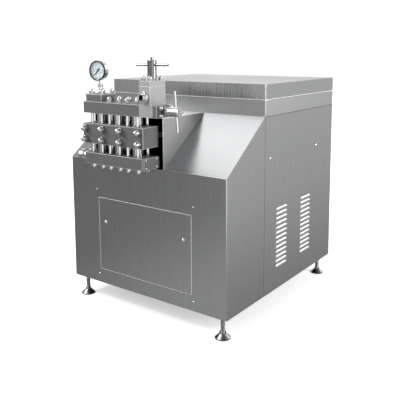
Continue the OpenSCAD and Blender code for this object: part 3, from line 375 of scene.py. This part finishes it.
# A sheet has a dark and a light tone, then its least and most roughness. Lines and lips are in metres.
PLAIN_SHEET = ((0.40, 0.405, 0.41), (0.47, 0.475, 0.48), 0.265, 0.285)
DOOR_HIGHLIGHT_WIDTH, COVER_HIGHLIGHT_LIP, BEYOND = 0.0024, 0.005, 0.1
DOOR_LOW, DOOR_HIGH = (Vector(v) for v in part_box("front_door"))
DOOR_HIGHLIGHT_INSET = Vector((DOOR_HIGHLIGHT_WIDTH, -BEYOND, DOOR_HIGHLIGHT_WIDTH))
COVER_LOW, COVER_HIGH = (Vector(v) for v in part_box("top_cover"))
# Painted shade: inside this box the pump hood's inner faces are black
HOOD_PAINTED_SHADE = (at(-312, -5, 650), at(138, 141, 905))
LOUVRE_HIGHLIGHT_BOX = (at(-520, 440, 100), at(520, 850, 470))

SHEET = brushed_sheet("cabinet_brushed_sheet", *PLAIN_SHEET)
SHOULDER = brushed_sheet("shoulder_brushed_sheet", (0.42, 0.425, 0.43), (0.48, 0.485, 0.49), 0.24, 0.26)
HOOD = brushed_sheet(
    "hood_brushed_sheet", (0.46, 0.465, 0.47), (0.53, 0.535, 0.54), 0.36, 0.38,
    inside=HOOD_PAINTED_SHADE,
)
# Painted highlight: a thin bright line around the door's edges
DOOR = brushed_sheet(
    "door_brushed_sheet", *PLAIN_SHEET, rim=(DOOR_LOW + DOOR_HIGHLIGHT_INSET, DOOR_HIGH - DOOR_HIGHLIGHT_INSET),
)
# Painted highlight on the louvres' pressed faces
PANEL = brushed_sheet("side_panel_brushed_sheet", *PLAIN_SHEET, pressed=LOUVRE_HIGHLIGHT_BOX)
# Painted highlight: the top cover's lowest lip is bright
COVER = brushed_sheet(
    "cover_brushed_sheet", *PLAIN_SHEET,
    rim=(
        COVER_LOW + Vector((-BEYOND, -BEYOND, COVER_HIGHLIGHT_LIP)),
        COVER_HIGH + Vector((BEYOND, BEYOND, BEYOND)),
    ),
)
BAND = brushed_sheet("band_brushed_sheet", (0.34, 0.343, 0.346), (0.4, 0.403, 0.406), 0.42, 0.44)
BLOCK = ground_steel(
    "pump_ground_steel", (0.09, 0.09, 0.092), (0.13, 0.13, 0.132), 0.45, 0.55, metallic=0.05,
)
VALVE = ground_steel(
    "valve_ground_steel", (0.28, 0.28, 0.283), (0.4, 0.4, 0.403), 0.4, 0.5, metallic=0.2,
)
POLISH = ground_steel("polished_steel", (0.62, 0.625, 0.63), (0.7, 0.705, 0.71), 0.14, 0.2, fine=150.0)
NUT = ground_steel("cap_nut_steel", (0.52, 0.525, 0.53), (0.6, 0.605, 0.61), 0.22, 0.28, fine=150.0)
BAR = ground_steel("handle_steel", (0.2, 0.2, 0.203), (0.27, 0.27, 0.273), 0.18, 0.24, fine=150.0)
BARREL = ground_steel(
    "barrel_turned_steel", (0.44, 0.442, 0.445), (0.52, 0.522, 0.525), 0.1, 0.14, fine=150.0,
)
FOOT = ground_steel(
    "foot_turned_steel", (0.34, 0.343, 0.346), (0.44, 0.443, 0.446), 0.1, 0.16, fine=220.0,
)
BALL = ground_steel("lapped_ball_steel", (0.7, 0.7, 0.71), (0.76, 0.76, 0.77), 0.05, 0.09, fine=120.0)
CERAMIC = painted("plunger_ceramic", (0.78, 0.76, 0.7), (0.86, 0.84, 0.79), 0.12, 0.2, bump=0.02)
FRAME = painted("frame_grey_paint", (0.13, 0.14, 0.15), (0.18, 0.19, 0.2), 0.4, 0.5)
CASTING = painted(
    "crankcase_paint", (0.07, 0.12, 0.15), (0.1, 0.16, 0.19), 0.35, 0.5, fine=180.0, bump=0.4,
)
MOTOR = painted("motor_paint", (0.05, 0.1, 0.16), (0.07, 0.13, 0.2), 0.35, 0.45, bump=0.25)
IRON = ground_steel("pulley_iron", (0.12, 0.12, 0.125), (0.2, 0.2, 0.205), 0.38, 0.5, fine=200.0)
RUBBER = painted("belt_rubber", (0.012, 0.012, 0.012), (0.022, 0.022, 0.022), 0.7, 0.85)
PLASTIC = painted("gland_plastic", (0.015, 0.015, 0.016), (0.025, 0.025, 0.026), 0.4, 0.5)
CASE = gauge_case_finish()
DIAL = painted("dial_enamel", (0.86, 0.92, 0.94), (0.9, 0.95, 0.96), 0.4, 0.5, bump=0.02)
INK = painted("dial_ink", (0.01, 0.01, 0.012), (0.02, 0.02, 0.022), 0.4, 0.5, bump=0.02)
GLASS = clear_glass()

FINISHES = {
    "stainless_sheet": SHEET, "stainless_machined": BLOCK, "stainless_polished": POLISH,
    "stainless_foot": FOOT, "valve_ball": BALL, "plunger_ceramic": CERAMIC, "frame_paint": FRAME,
    "casting_paint": CASTING, "motor_paint": MOTOR, "pulley_iron": IRON, "belt_rubber": RUBBER,
    "gland_plastic": PLASTIC, "gauge_case_black": CASE, "dial_face": DIAL, "pointer_black": INK,
    "clear_glass": GLASS,
}


def dress(obj, material):
    obj.data.materials.clear()
    obj.data.materials.append(material)


OWN_FINISH = {
    "slope_panels": SHOULDER, "pump_hood": HOOD, "front_door": DOOR, "right_side_panel": PANEL,
    "left_side_panel": PANEL, "valve_block": VALVE, "stage1_bonnet": VALVE, "top_cover": COVER,
    "upper_band": BAND, "cap_nuts": NUT, "stage1_handle": BAR, "small_screws": BARREL,
    "valve_barrels": BARREL,
}


def finish_of(node):
    return OWN_FINISH.get(node, FINISHES[SLOTS[node]])


for name, obj in NODES.items():
    dress(obj, finish_of(name))


# Sheet and block edges are broken so that they catch the light, and their strips are marked for a
# painted highlight
SAME_PLACE = 2e-6
FLAT, ROUND, CREASE = (math.radians(v) for v in (0.5, 1, 25))
SPLIT = math.radians(40)
BEND_STRIP = 0.005
STRIP_ROOM = 3
EDGE_STEPS = 2


def softened(node, width, shortest):
    """A copy of the node with its edges broken where they are longer than the shortest."""
    mesh = NODES[node].data.copy()
    stored = mesh.attributes.get("custom_normal")
    if stored:
        mesh.attributes.remove(stored)
    bm = bmesh.new()
    bm.from_mesh(mesh)
    mark = bm.faces.layers.float.new("broken_edge")
    bmesh.ops.remove_doubles(bm, verts=bm.verts, dist=SAME_PLACE)
    bmesh.ops.dissolve_limit(
        bm, angle_limit=FLAT, verts=bm.verts, edges=bm.edges, delimit=set(),
    )
    for face in bm.faces:
        bends = [e.calc_face_angle(0) for e in face.edges if len(e.link_faces) == 2]
        narrow = face.calc_area() < BEND_STRIP * max(e.calc_length() for e in face.edges)
        face.smooth = narrow and any(ROUND < a < CREASE for a in bends)
    sharp = [
        e for e in bm.edges
        if len(e.link_faces) == 2 and e.calc_face_angle(0) > CREASE and e.calc_length() > shortest
    ]
    made = bmesh.ops.bevel(
        bm, geom=sharp, offset=width, segments=EDGE_STEPS, profile=0.5, affect="EDGES",
        clamp_overlap=True,
    )
    for face in made["faces"]:
        longest = max(e.calc_length() for e in face.edges)
        if face.calc_area() < longest * width * STRIP_ROOM:
            face.smooth = True
            face[mark] = 1.0
    bmesh.ops.triangulate(bm, faces=[f for f in bm.faces if len(f.verts) > 4])
    bm.to_mesh(mesh)
    bm.free()
    mesh.name = node + "_edges"
    obj = bpy.data.objects.new(node + "_dressed", mesh)
    scene.collection.objects.link(obj)
    dress(obj, finish_of(node))
    # Marking sharp edges also clears the flat faces' flags, so those are kept and put back
    rounded = [p.use_smooth for p in mesh.polygons]
    mesh.set_sharp_from_angle(angle=SPLIT)
    mesh.polygons.foreach_set("use_smooth", rounded)
    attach(obj, BODY[node])
    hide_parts(node)


BLOCK_EDGE, SHEET_EDGE = 0.012, 0.03
for node, width in (
    ("pump_body", 0.0012), ("discharge_plate", 0.0012), ("suction_plate", 0.0012),
    ("valve_block", 0.0012), ("gauge_block", 0.0012), ("suction_end_cover", 0.0006),
    ("stage1_bonnet", 0.0008), ("stage2_bonnet", 0.0008),
):
    softened(node, width, BLOCK_EDGE)

for node, width in (
    ("top_cover", 0.0014), ("upper_band", 0.0009), ("front_shell", 0.0009), ("slope_panels", 0.0008),
    ("pump_hood", 0.0008), ("front_door", 0.0009), ("rear_panel", 0.0008),
):
    softened(node, width, SHEET_EDGE)


# Geometry Nodes trees for what repeats or follows a rule
def node_tree(name, inputs):
    """A modifier tree with named inputs; gives the tree and its two ends."""
    tree = bpy.data.node_groups.new(name, "GeometryNodeTree")
    tree.interface.new_socket("Geometry", in_out="INPUT", socket_type="NodeSocketGeometry")
    for label, kind, value in inputs:
        socket = tree.interface.new_socket(label, in_out="INPUT", socket_type=kind)
        if value is not None:
            socket.default_value = value
    tree.interface.new_socket("Geometry", in_out="OUTPUT", socket_type="NodeSocketGeometry")
    return tree, tree.nodes.new("NodeGroupInput"), tree.nodes.new("NodeGroupOutput")


def finish_tree(tree, source, sink, geometry):
    realize = tree.nodes.new("GeometryNodeRealizeInstances")
    paint = tree.nodes.new("GeometryNodeSetMaterial")
    tree.links.new(geometry, realize.inputs[0])
    tree.links.new(realize.outputs[0], paint.inputs["Geometry"])
    tree.links.new(source.outputs["Material"], paint.inputs["Material"])
    tree.links.new(paint.outputs[0], sink.inputs[0])


def grown(name, tree, seed_mesh, place, body, slot, **values):
    """Runs a tree on a seed mesh and keeps the result as a plain mesh on that body."""
    seed = bpy.data.objects.new(name + "_seed", seed_mesh)
    scene.collection.objects.link(seed)
    modifier = seed.modifiers.new("grow", "NODES")
    modifier.node_group = tree
    for item in tree.interface.items_tree:
        if item.in_out == "INPUT" and item.name.replace(" ", "_") in values:
            modifier[item.identifier] = values[item.name.replace(" ", "_")]
    bpy.context.view_layer.update()
    graph = bpy.context.evaluated_depsgraph_get()
    mesh = bpy.data.meshes.new_from_object(seed.evaluated_get(graph))
    seed.modifiers.remove(modifier)
    bpy.data.objects.remove(seed)
    mesh.transform(place)
    mesh.name = name
    obj = bpy.data.objects.new(name, mesh)
    scene.collection.objects.link(obj)
    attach(obj, body)


def seed_points(name, points):
    mesh = bpy.data.meshes.new(name)
    mesh.from_pydata([tuple(p) for p in points], [], [])
    return mesh


def bars_on_points(tree, source, sink, sizes, turn):
    """One bar on every seed point; its three sizes are inputs of the tree."""
    size = tree.nodes.new("ShaderNodeCombineXYZ")
    for axis, label in zip("XYZ", sizes):
        tree.links.new(source.outputs[label], size.inputs[axis])
    bar = tree.nodes.new("GeometryNodeMeshCube")
    tree.links.new(size.outputs[0], bar.inputs["Size"])
    spread = tree.nodes.new("GeometryNodeInstanceOnPoints")
    tree.links.new(source.outputs["Geometry"], spread.inputs["Points"])
    tree.links.new(bar.outputs["Mesh"], spread.inputs["Instance"])
    tree.links.new(turn, spread.inputs["Rotation"])
    finish_tree(tree, source, sink, spread.outputs[0])


def marks_tree():
    """One flat bar on every seed point, turned by its place round the middle."""
    tree, source, sink = node_tree("DialMarks", [
        ("Length", "NodeSocketFloat", 0.004), ("Width", "NodeSocketFloat", 0.0008),
        ("Height", "NodeSocketFloat", 0.0002), ("Material", "NodeSocketMaterial", None),
    ])
    place = tree.nodes.new("GeometryNodeInputPosition")
    across = split_vector(tree, place.outputs[0])
    turn = tree.nodes.new("ShaderNodeCombineXYZ")
    tree.links.new(math_node(tree, "ARCTAN2", across["Y"], across["X"]), turn.inputs["Z"])
    bars_on_points(tree, source, sink, ("Length", "Width", "Height"), turn.outputs[0])
    return tree


COIL_STEPS, RIDGE_SIDES = 20, 6


def thread_tree():
    """A screw thread: a thin round ridge wound up a stem."""
    tree, source, sink = node_tree("StemThread", [
        ("Stem Radius", "NodeSocketFloat", 0.01), ("Turns", "NodeSocketFloat", 20.0),
        ("Height", "NodeSocketFloat", 0.06), ("Ridge", "NodeSocketFloat", 0.0007),
        ("Material", "NodeSocketMaterial", None),
    ])
    coil = tree.nodes.new("GeometryNodeCurveSpiral")
    coil.inputs["Resolution"].default_value = COIL_STEPS
    tree.links.new(source.outputs["Turns"], coil.inputs["Rotations"])
    for end in ("Start Radius", "End Radius"):
        tree.links.new(source.outputs["Stem Radius"], coil.inputs[end])
    tree.links.new(source.outputs["Height"], coil.inputs["Height"])
    ridge = tree.nodes.new("GeometryNodeCurvePrimitiveCircle")
    ridge.inputs["Resolution"].default_value = RIDGE_SIDES
    tree.links.new(source.outputs["Ridge"], ridge.inputs["Radius"])
    body = tree.nodes.new("GeometryNodeCurveToMesh")
    tree.links.new(coil.outputs[0], body.inputs["Curve"])
    tree.links.new(ridge.outputs[0], body.inputs["Profile Curve"])
    body.inputs["Fill Caps"].default_value = True
    finish_tree(tree, source, sink, body.outputs[0])
    return tree


def slots_tree():
    """One driver slot on every seed point, lying across the way that point faces."""
    tree, source, sink = node_tree("DriverSlots", [
        ("Length", "NodeSocketFloat", 0.008), ("Width", "NodeSocketFloat", 0.0014),
        ("Depth", "NodeSocketFloat", 0.0006), ("Material", "NodeSocketMaterial", None),
    ])
    facing = tree.nodes.new("GeometryNodeInputNamedAttribute")
    facing.data_type = "FLOAT_VECTOR"
    facing.inputs["Name"].default_value = "facing"
    turn = tree.nodes.new("FunctionNodeAlignRotationToVector")
    turn.axis = "Z"
    tree.links.new(facing.outputs["Attribute"], turn.inputs["Vector"])
    bars_on_points(tree, source, sink, ("Length", "Width", "Depth"), turn.outputs[0])
    return tree


MARKS, THREAD, SLOTTED = marks_tree(), thread_tree(), slots_tree()

# Gauge dial: x to the right, y up, z out of the dial, which starts low on the left
DIAL_RADIUS, DIAL_BEHIND = 0.0455, 0.00288
MARK_RING, NUMBER_RING = DIAL_RADIUS * 0.9, DIAL_RADIUS * 0.6
NUMBER_HEIGHT, NUMBER_THICKNESS = 0.0075, 0.0001
NUMBER_EVERY, UNITS_A_STEP = 10, 2
DIAL_FACE = GAUGE_MIDDLE - GAUGE_FACING * DIAL_BEHIND
DIAL_TURN = Matrix((GAUGE_SIDE, (0, 0, 1), GAUGE_FACING)).transposed().to_4x4()
ON_DIAL = Matrix.Translation(DIAL_FACE) @ DIAL_TURN
SCALE_START, SCALE_SWEEP, SCALE_STEPS = math.radians(225), math.radians(-270), 30


def on_scale(step, radius):
    angle = SCALE_START + SCALE_SWEEP * step / SCALE_STEPS
    return Vector((radius * math.cos(angle), radius * math.sin(angle), 0.0))


for name, every, length, width in (("fine", 1, 0.003, 0.0004), ("main", 5, 0.0055, 0.0008)):
    points = [on_scale(i, MARK_RING - length / 2) for i in range(0, SCALE_STEPS + 1, every)]
    grown(
        f"dial_{name}_marks", MARKS, seed_points(name, points), ON_DIAL, "machine", "pointer_black",
        Length=length, Width=width, Material=INK,
    )


def dial_numbers():
    """Plain numbers inside the scale, as one mesh."""
    bm = bmesh.new()
    for step in range(0, SCALE_STEPS + 1, NUMBER_EVERY):
        words = bpy.data.curves.new("number", "FONT")
        words.body = str(step * UNITS_A_STEP)
        words.size = NUMBER_HEIGHT
        words.align_x, words.align_y = "CENTER", "CENTER"
        words.extrude = NUMBER_THICKNESS
        holder = bpy.data.objects.new("number", words)
        scene.collection.objects.link(holder)
        bpy.context.view_layer.update()
        graph = bpy.context.evaluated_depsgraph_get()
        mesh = bpy.data.meshes.new_from_object(holder.evaluated_get(graph))
        bpy.data.objects.remove(holder)
        mesh.transform(ON_DIAL @ Matrix.Translation(on_scale(step, NUMBER_RING)))
        bm.from_mesh(mesh)
        bpy.data.meshes.remove(mesh)
    mesh = bpy.data.meshes.new("dial_numbers")
    bm.to_mesh(mesh)
    bm.free()
    obj = bpy.data.objects.new("dial_numbers", mesh)
    scene.collection.objects.link(obj)
    dress(obj, INK)
    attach(obj, "machine")


dial_numbers()

# Threads on the levelling feet, between pad and nut
STEM_RADIUS, THREAD_PITCH, THREAD_LOW, THREAD_HIGH = 0.010, 0.0025, 0.031, 0.095
for foot in ("foot_front_left", "foot_front_right", "foot_rear_left", "foot_rear_right"):
    low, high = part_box(foot)
    middle = Vector(((low[0] + high[0]) / 2, (low[1] + high[1]) / 2, THREAD_LOW))
    grown(
        foot + "_thread", THREAD, seed_points(foot, [(0, 0, 0)]), Matrix.Translation(middle), foot,
        "stainless_foot", Stem_Radius=STEM_RADIUS, Height=THREAD_HIGH - THREAD_LOW,
        Turns=(THREAD_HIGH - THREAD_LOW) / THREAD_PITCH, Material=FOOT,
    )


# Driver slots on the locks
LOCK_HEAD, SLOT_LENGTH, SLOT_WIDTH = 0.0076, 0.011, 0.0018
LOCKS = {
    (0, -1, 0): ("front_lock_left", "front_lock_right"),
    (1, 0, 0): ("right_lock_front", "right_lock_rear"),
    (-1, 0, 0): ("left_lock_front", "left_lock_rear"),
}
for way, locks in LOCKS.items():
    for lock in locks:
        top = Vector(JOINTS[lock + "_turn"]["pos_m"]) + Vector(way) * LOCK_HEAD
        mesh = seed_points(lock + "_slot", [top])
        mesh.attributes.new("facing", "FLOAT_VECTOR", "POINT").data[0].vector = way
        grown(
            lock + "_slot", SLOTTED, mesh, Matrix.Identity(4), lock, "pointer_black",
            Length=SLOT_LENGTH, Width=SLOT_WIDTH, Material=INK,
        )


# Studio: a pale floor and backdrop, both dimmer where the steel mirrors them.
# A floor tone is given as where it starts and ends, in metres, and its strength at those two places.
FLOOR_RADIUS, FLOOR_SIDES = 14.0, 96
FLOOR_SEEN, FLOOR_SPREAD, FLOOR_MIRRORED = 0.85, 0.01, 0.1
FLOOR_GLOW = (0.8, 2.0, 0.45, 1.0)
FLOOR_ACROSS = (-0.4, 2.2, 0.1, 0.52)
FLOOR_FRONT = (-1.4, 0.1, 0.0, 0.37)
FLOOR_AHEAD = (-0.7, -0.4, 0.42, 0.0)
FLOOR_FAR = (6.0, 13.0, 0.0, 0.34)
FLOOR_CORNER = (1.5, 2.4, 0.0, 1.3)
CORNER_WAY = (0.776, -0.546, 0.0)
# A patch of backdrop has its direction, the cosines at its rim and its full part, and its strength
WORLD_BASE = 0.17
WORLD_PATCHES = (
    ((-0.59, 0.81, 0.12), 0.5, 0.85, 0.8),
    ((0.7, 0.7, 0.1), 0.4, 0.9, 0.46),
    ((-0.45, -0.89, 0.02), 0.82, 0.96, 0.45),
    ((0.365, 0.85, 0.38), 0.93, 0.985, 1.2),
    ((0.78, -0.55, 0.25), 0.85, 0.97, 1.3),
    ((-0.5, -0.6, 0.62), 0.8, 0.94, 1.9),
)


def seen_directly(tree, direct, mirrored):
    """A value that differs between what the eye meets and what the steel mirrors."""
    path = tree.nodes.new("ShaderNodeLightPath")
    mix = tree.nodes.new("ShaderNodeMix")
    mix.data_type = "FLOAT"
    tree.links.new(path.outputs["Is Camera Ray"], mix.inputs[0])
    feed(tree, mix.inputs[2], mirrored)
    feed(tree, mix.inputs[3], direct)
    return mix.outputs[0]


def floor_tone(tree, value, limits):
    fall = tree.nodes.new("ShaderNodeMapRange")
    for label, number in zip(("From Min", "From Max", "To Min", "To Max"), limits):
        fall.inputs[label].default_value = number
    tree.links.new(value, fall.inputs["Value"])
    return fall.outputs["Result"]


def make_floor():
    mesh = bpy.data.meshes.new("studio_floor")
    bm = bmesh.new()
    bmesh.ops.create_circle(bm, cap_ends=True, radius=FLOOR_RADIUS, segments=FLOOR_SIDES)
    bm.to_mesh(mesh)
    bm.free()
    obj = bpy.data.objects.new("studio_floor", mesh)
    scene.collection.objects.link(obj)
    f = Finish("studio_floor_pale", roughness=0.8)
    mottle = f.group(MOTTLE, Fine_Scale=60.0, Broad_Scale=1.5)
    pale = floor_tone(
        f.tree, mottle.outputs["Broad"],
        (0.0, 1.0, FLOOR_SEEN - FLOOR_SPREAD, FLOOR_SEEN + FLOOR_SPREAD),
    )
    place = f.tree.nodes.new("ShaderNodeTexCoord").outputs["Object"]
    across = split_vector(f.tree, place)
    reach = vector_node(f.tree, "LENGTH", place)["Value"]
    corner = vector_node(f.tree, "DOT_PRODUCT", place, CORNER_WAY)["Value"]
    glow = floor_tone(f.tree, reach, FLOOR_GLOW)
    ahead = math_node(
        f.tree, "MINIMUM",
        floor_tone(f.tree, across["X"], FLOOR_FRONT), floor_tone(f.tree, across["Y"], FLOOR_AHEAD),
    )
    mirrored = floor_tone(f.tree, across["X"], FLOOR_ACROSS)
    for tone in (floor_tone(f.tree, reach, FLOOR_FAR), floor_tone(f.tree, corner, FLOOR_CORNER), ahead):
        mirrored = math_node(f.tree, "MAXIMUM", mirrored, tone)
    for socket, direct, other in (
        ("Base Color", pale, FLOOR_MIRRORED), ("Emission Color", glow, mirrored),
    ):
        grey = f.tree.nodes.new("ShaderNodeCombineColor")
        tone = seen_directly(f.tree, direct, other)
        for part in grey.inputs[:3]:
            f.tree.links.new(tone, part)
        f.tree.links.new(grey.outputs[0], f.shader.inputs[socket])
    f.shader.inputs["Emission Strength"].default_value = 1.0
    f.shader.inputs["Specular IOR Level"].default_value = 0.1
    dress(obj, f.mat)
    obj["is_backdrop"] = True


def make_world():
    world = bpy.data.worlds.new("studio")
    scene.world = world
    world.use_nodes = True
    tree = world.node_tree
    coord = tree.nodes.new("ShaderNodeTexCoord")

    def facing(direction, low, high, gain):
        way = Vector(direction).normalized()
        dot = vector_node(tree, "DOT_PRODUCT", coord.outputs["Generated"], way)
        node = tree.nodes.new("ShaderNodeMapRange")
        node.interpolation_type = "SMOOTHSTEP"
        node.inputs["From Min"].default_value = low
        node.inputs["From Max"].default_value = high
        node.inputs["To Max"].default_value = gain
        tree.links.new(dot["Value"], node.inputs["Value"])
        return node.outputs["Result"]

    total = WORLD_BASE
    for direction, low, high, gain in WORLD_PATCHES:
        total = math_node(tree, "ADD", facing(direction, low, high, gain), total)
    strength = seen_directly(tree, 1.0, total)
    tree.links.new(strength, tree.nodes["Background"].inputs["Strength"])
    tree.nodes["Background"].inputs["Color"].default_value = (1, 1, 1, 1)


def area_light(name, place, target, size, power):
    data = bpy.data.lights.new(name, "AREA")
    data.shape = "RECTANGLE"
    data.size, data.size_y = size
    data.energy = power
    obj = bpy.data.objects.new(name, data)
    obj.location = place
    obj.rotation_euler = (Vector(target) - Vector(place)).to_track_quat("-Z", "Y").to_euler()
    scene.collection.objects.link(obj)


make_floor()
make_world()
# Place, aim, size and watts of each light
area_light("softbox_above", (-0.95, -0.1, 3.0), (-0.95, -0.1, 0.0), (1.7, 2.4), 20)
area_light("softbox_front", (0.6, -3.6, 2.6), (0, -0.4, 0.7), (1.4, 1.4), 5)
area_light("softbox_left", (-2.0, -2.3, 2.7), (-0.1, -0.5, 0.95), (0.7, 0.7), 50)
area_light("softbox_right", (3.6, 0.6, 1.8), (0.3, 0, 0.6), (1.2, 2.0), 100)

# Degrees of azimuth, pitch and roll, and the place as at() takes it
SENSOR, FOCAL_PIXELS, PICTURE_PIXELS = 36.0, 591.1, 400.0
LENS_SHIFT = -0.17
CAMERA_TURN = (36.25, 8.01, -0.26)
CAMERA_PLACE = (1908.5, -2118.0, 1229.6)


def make_camera():
    """The photograph's view, solved from the cabinet's corners."""
    data = bpy.data.cameras.new("view")
    data.sensor_width = SENSOR
    data.lens = FOCAL_PIXELS * SENSOR / PICTURE_PIXELS
    data.shift_y = LENS_SHIFT
    data.clip_start, data.clip_end = 0.05, 100
    obj = bpy.data.objects.new("view", data)
    scene.collection.objects.link(obj)
    azimuth, pitch, roll = (math.radians(v) for v in CAMERA_TURN)
    level = Vector((-math.sin(azimuth), math.cos(azimuth), 0))
    ahead = level * math.cos(pitch) - Vector((0, 0, math.sin(pitch)))
    side = Vector((math.cos(azimuth), math.sin(azimuth), 0))
    up = side.cross(ahead)
    right = side * math.cos(roll) + up * math.sin(roll)
    top = -side * math.sin(roll) + up * math.cos(roll)
    turn = Matrix((right, top, -ahead)).transposed().to_4x4()
    obj.matrix_world = Matrix.Translation(at(*CAMERA_PLACE)) @ turn
    scene.camera = obj


make_camera()
scene.view_settings.view_transform = "Standard"

low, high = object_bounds()
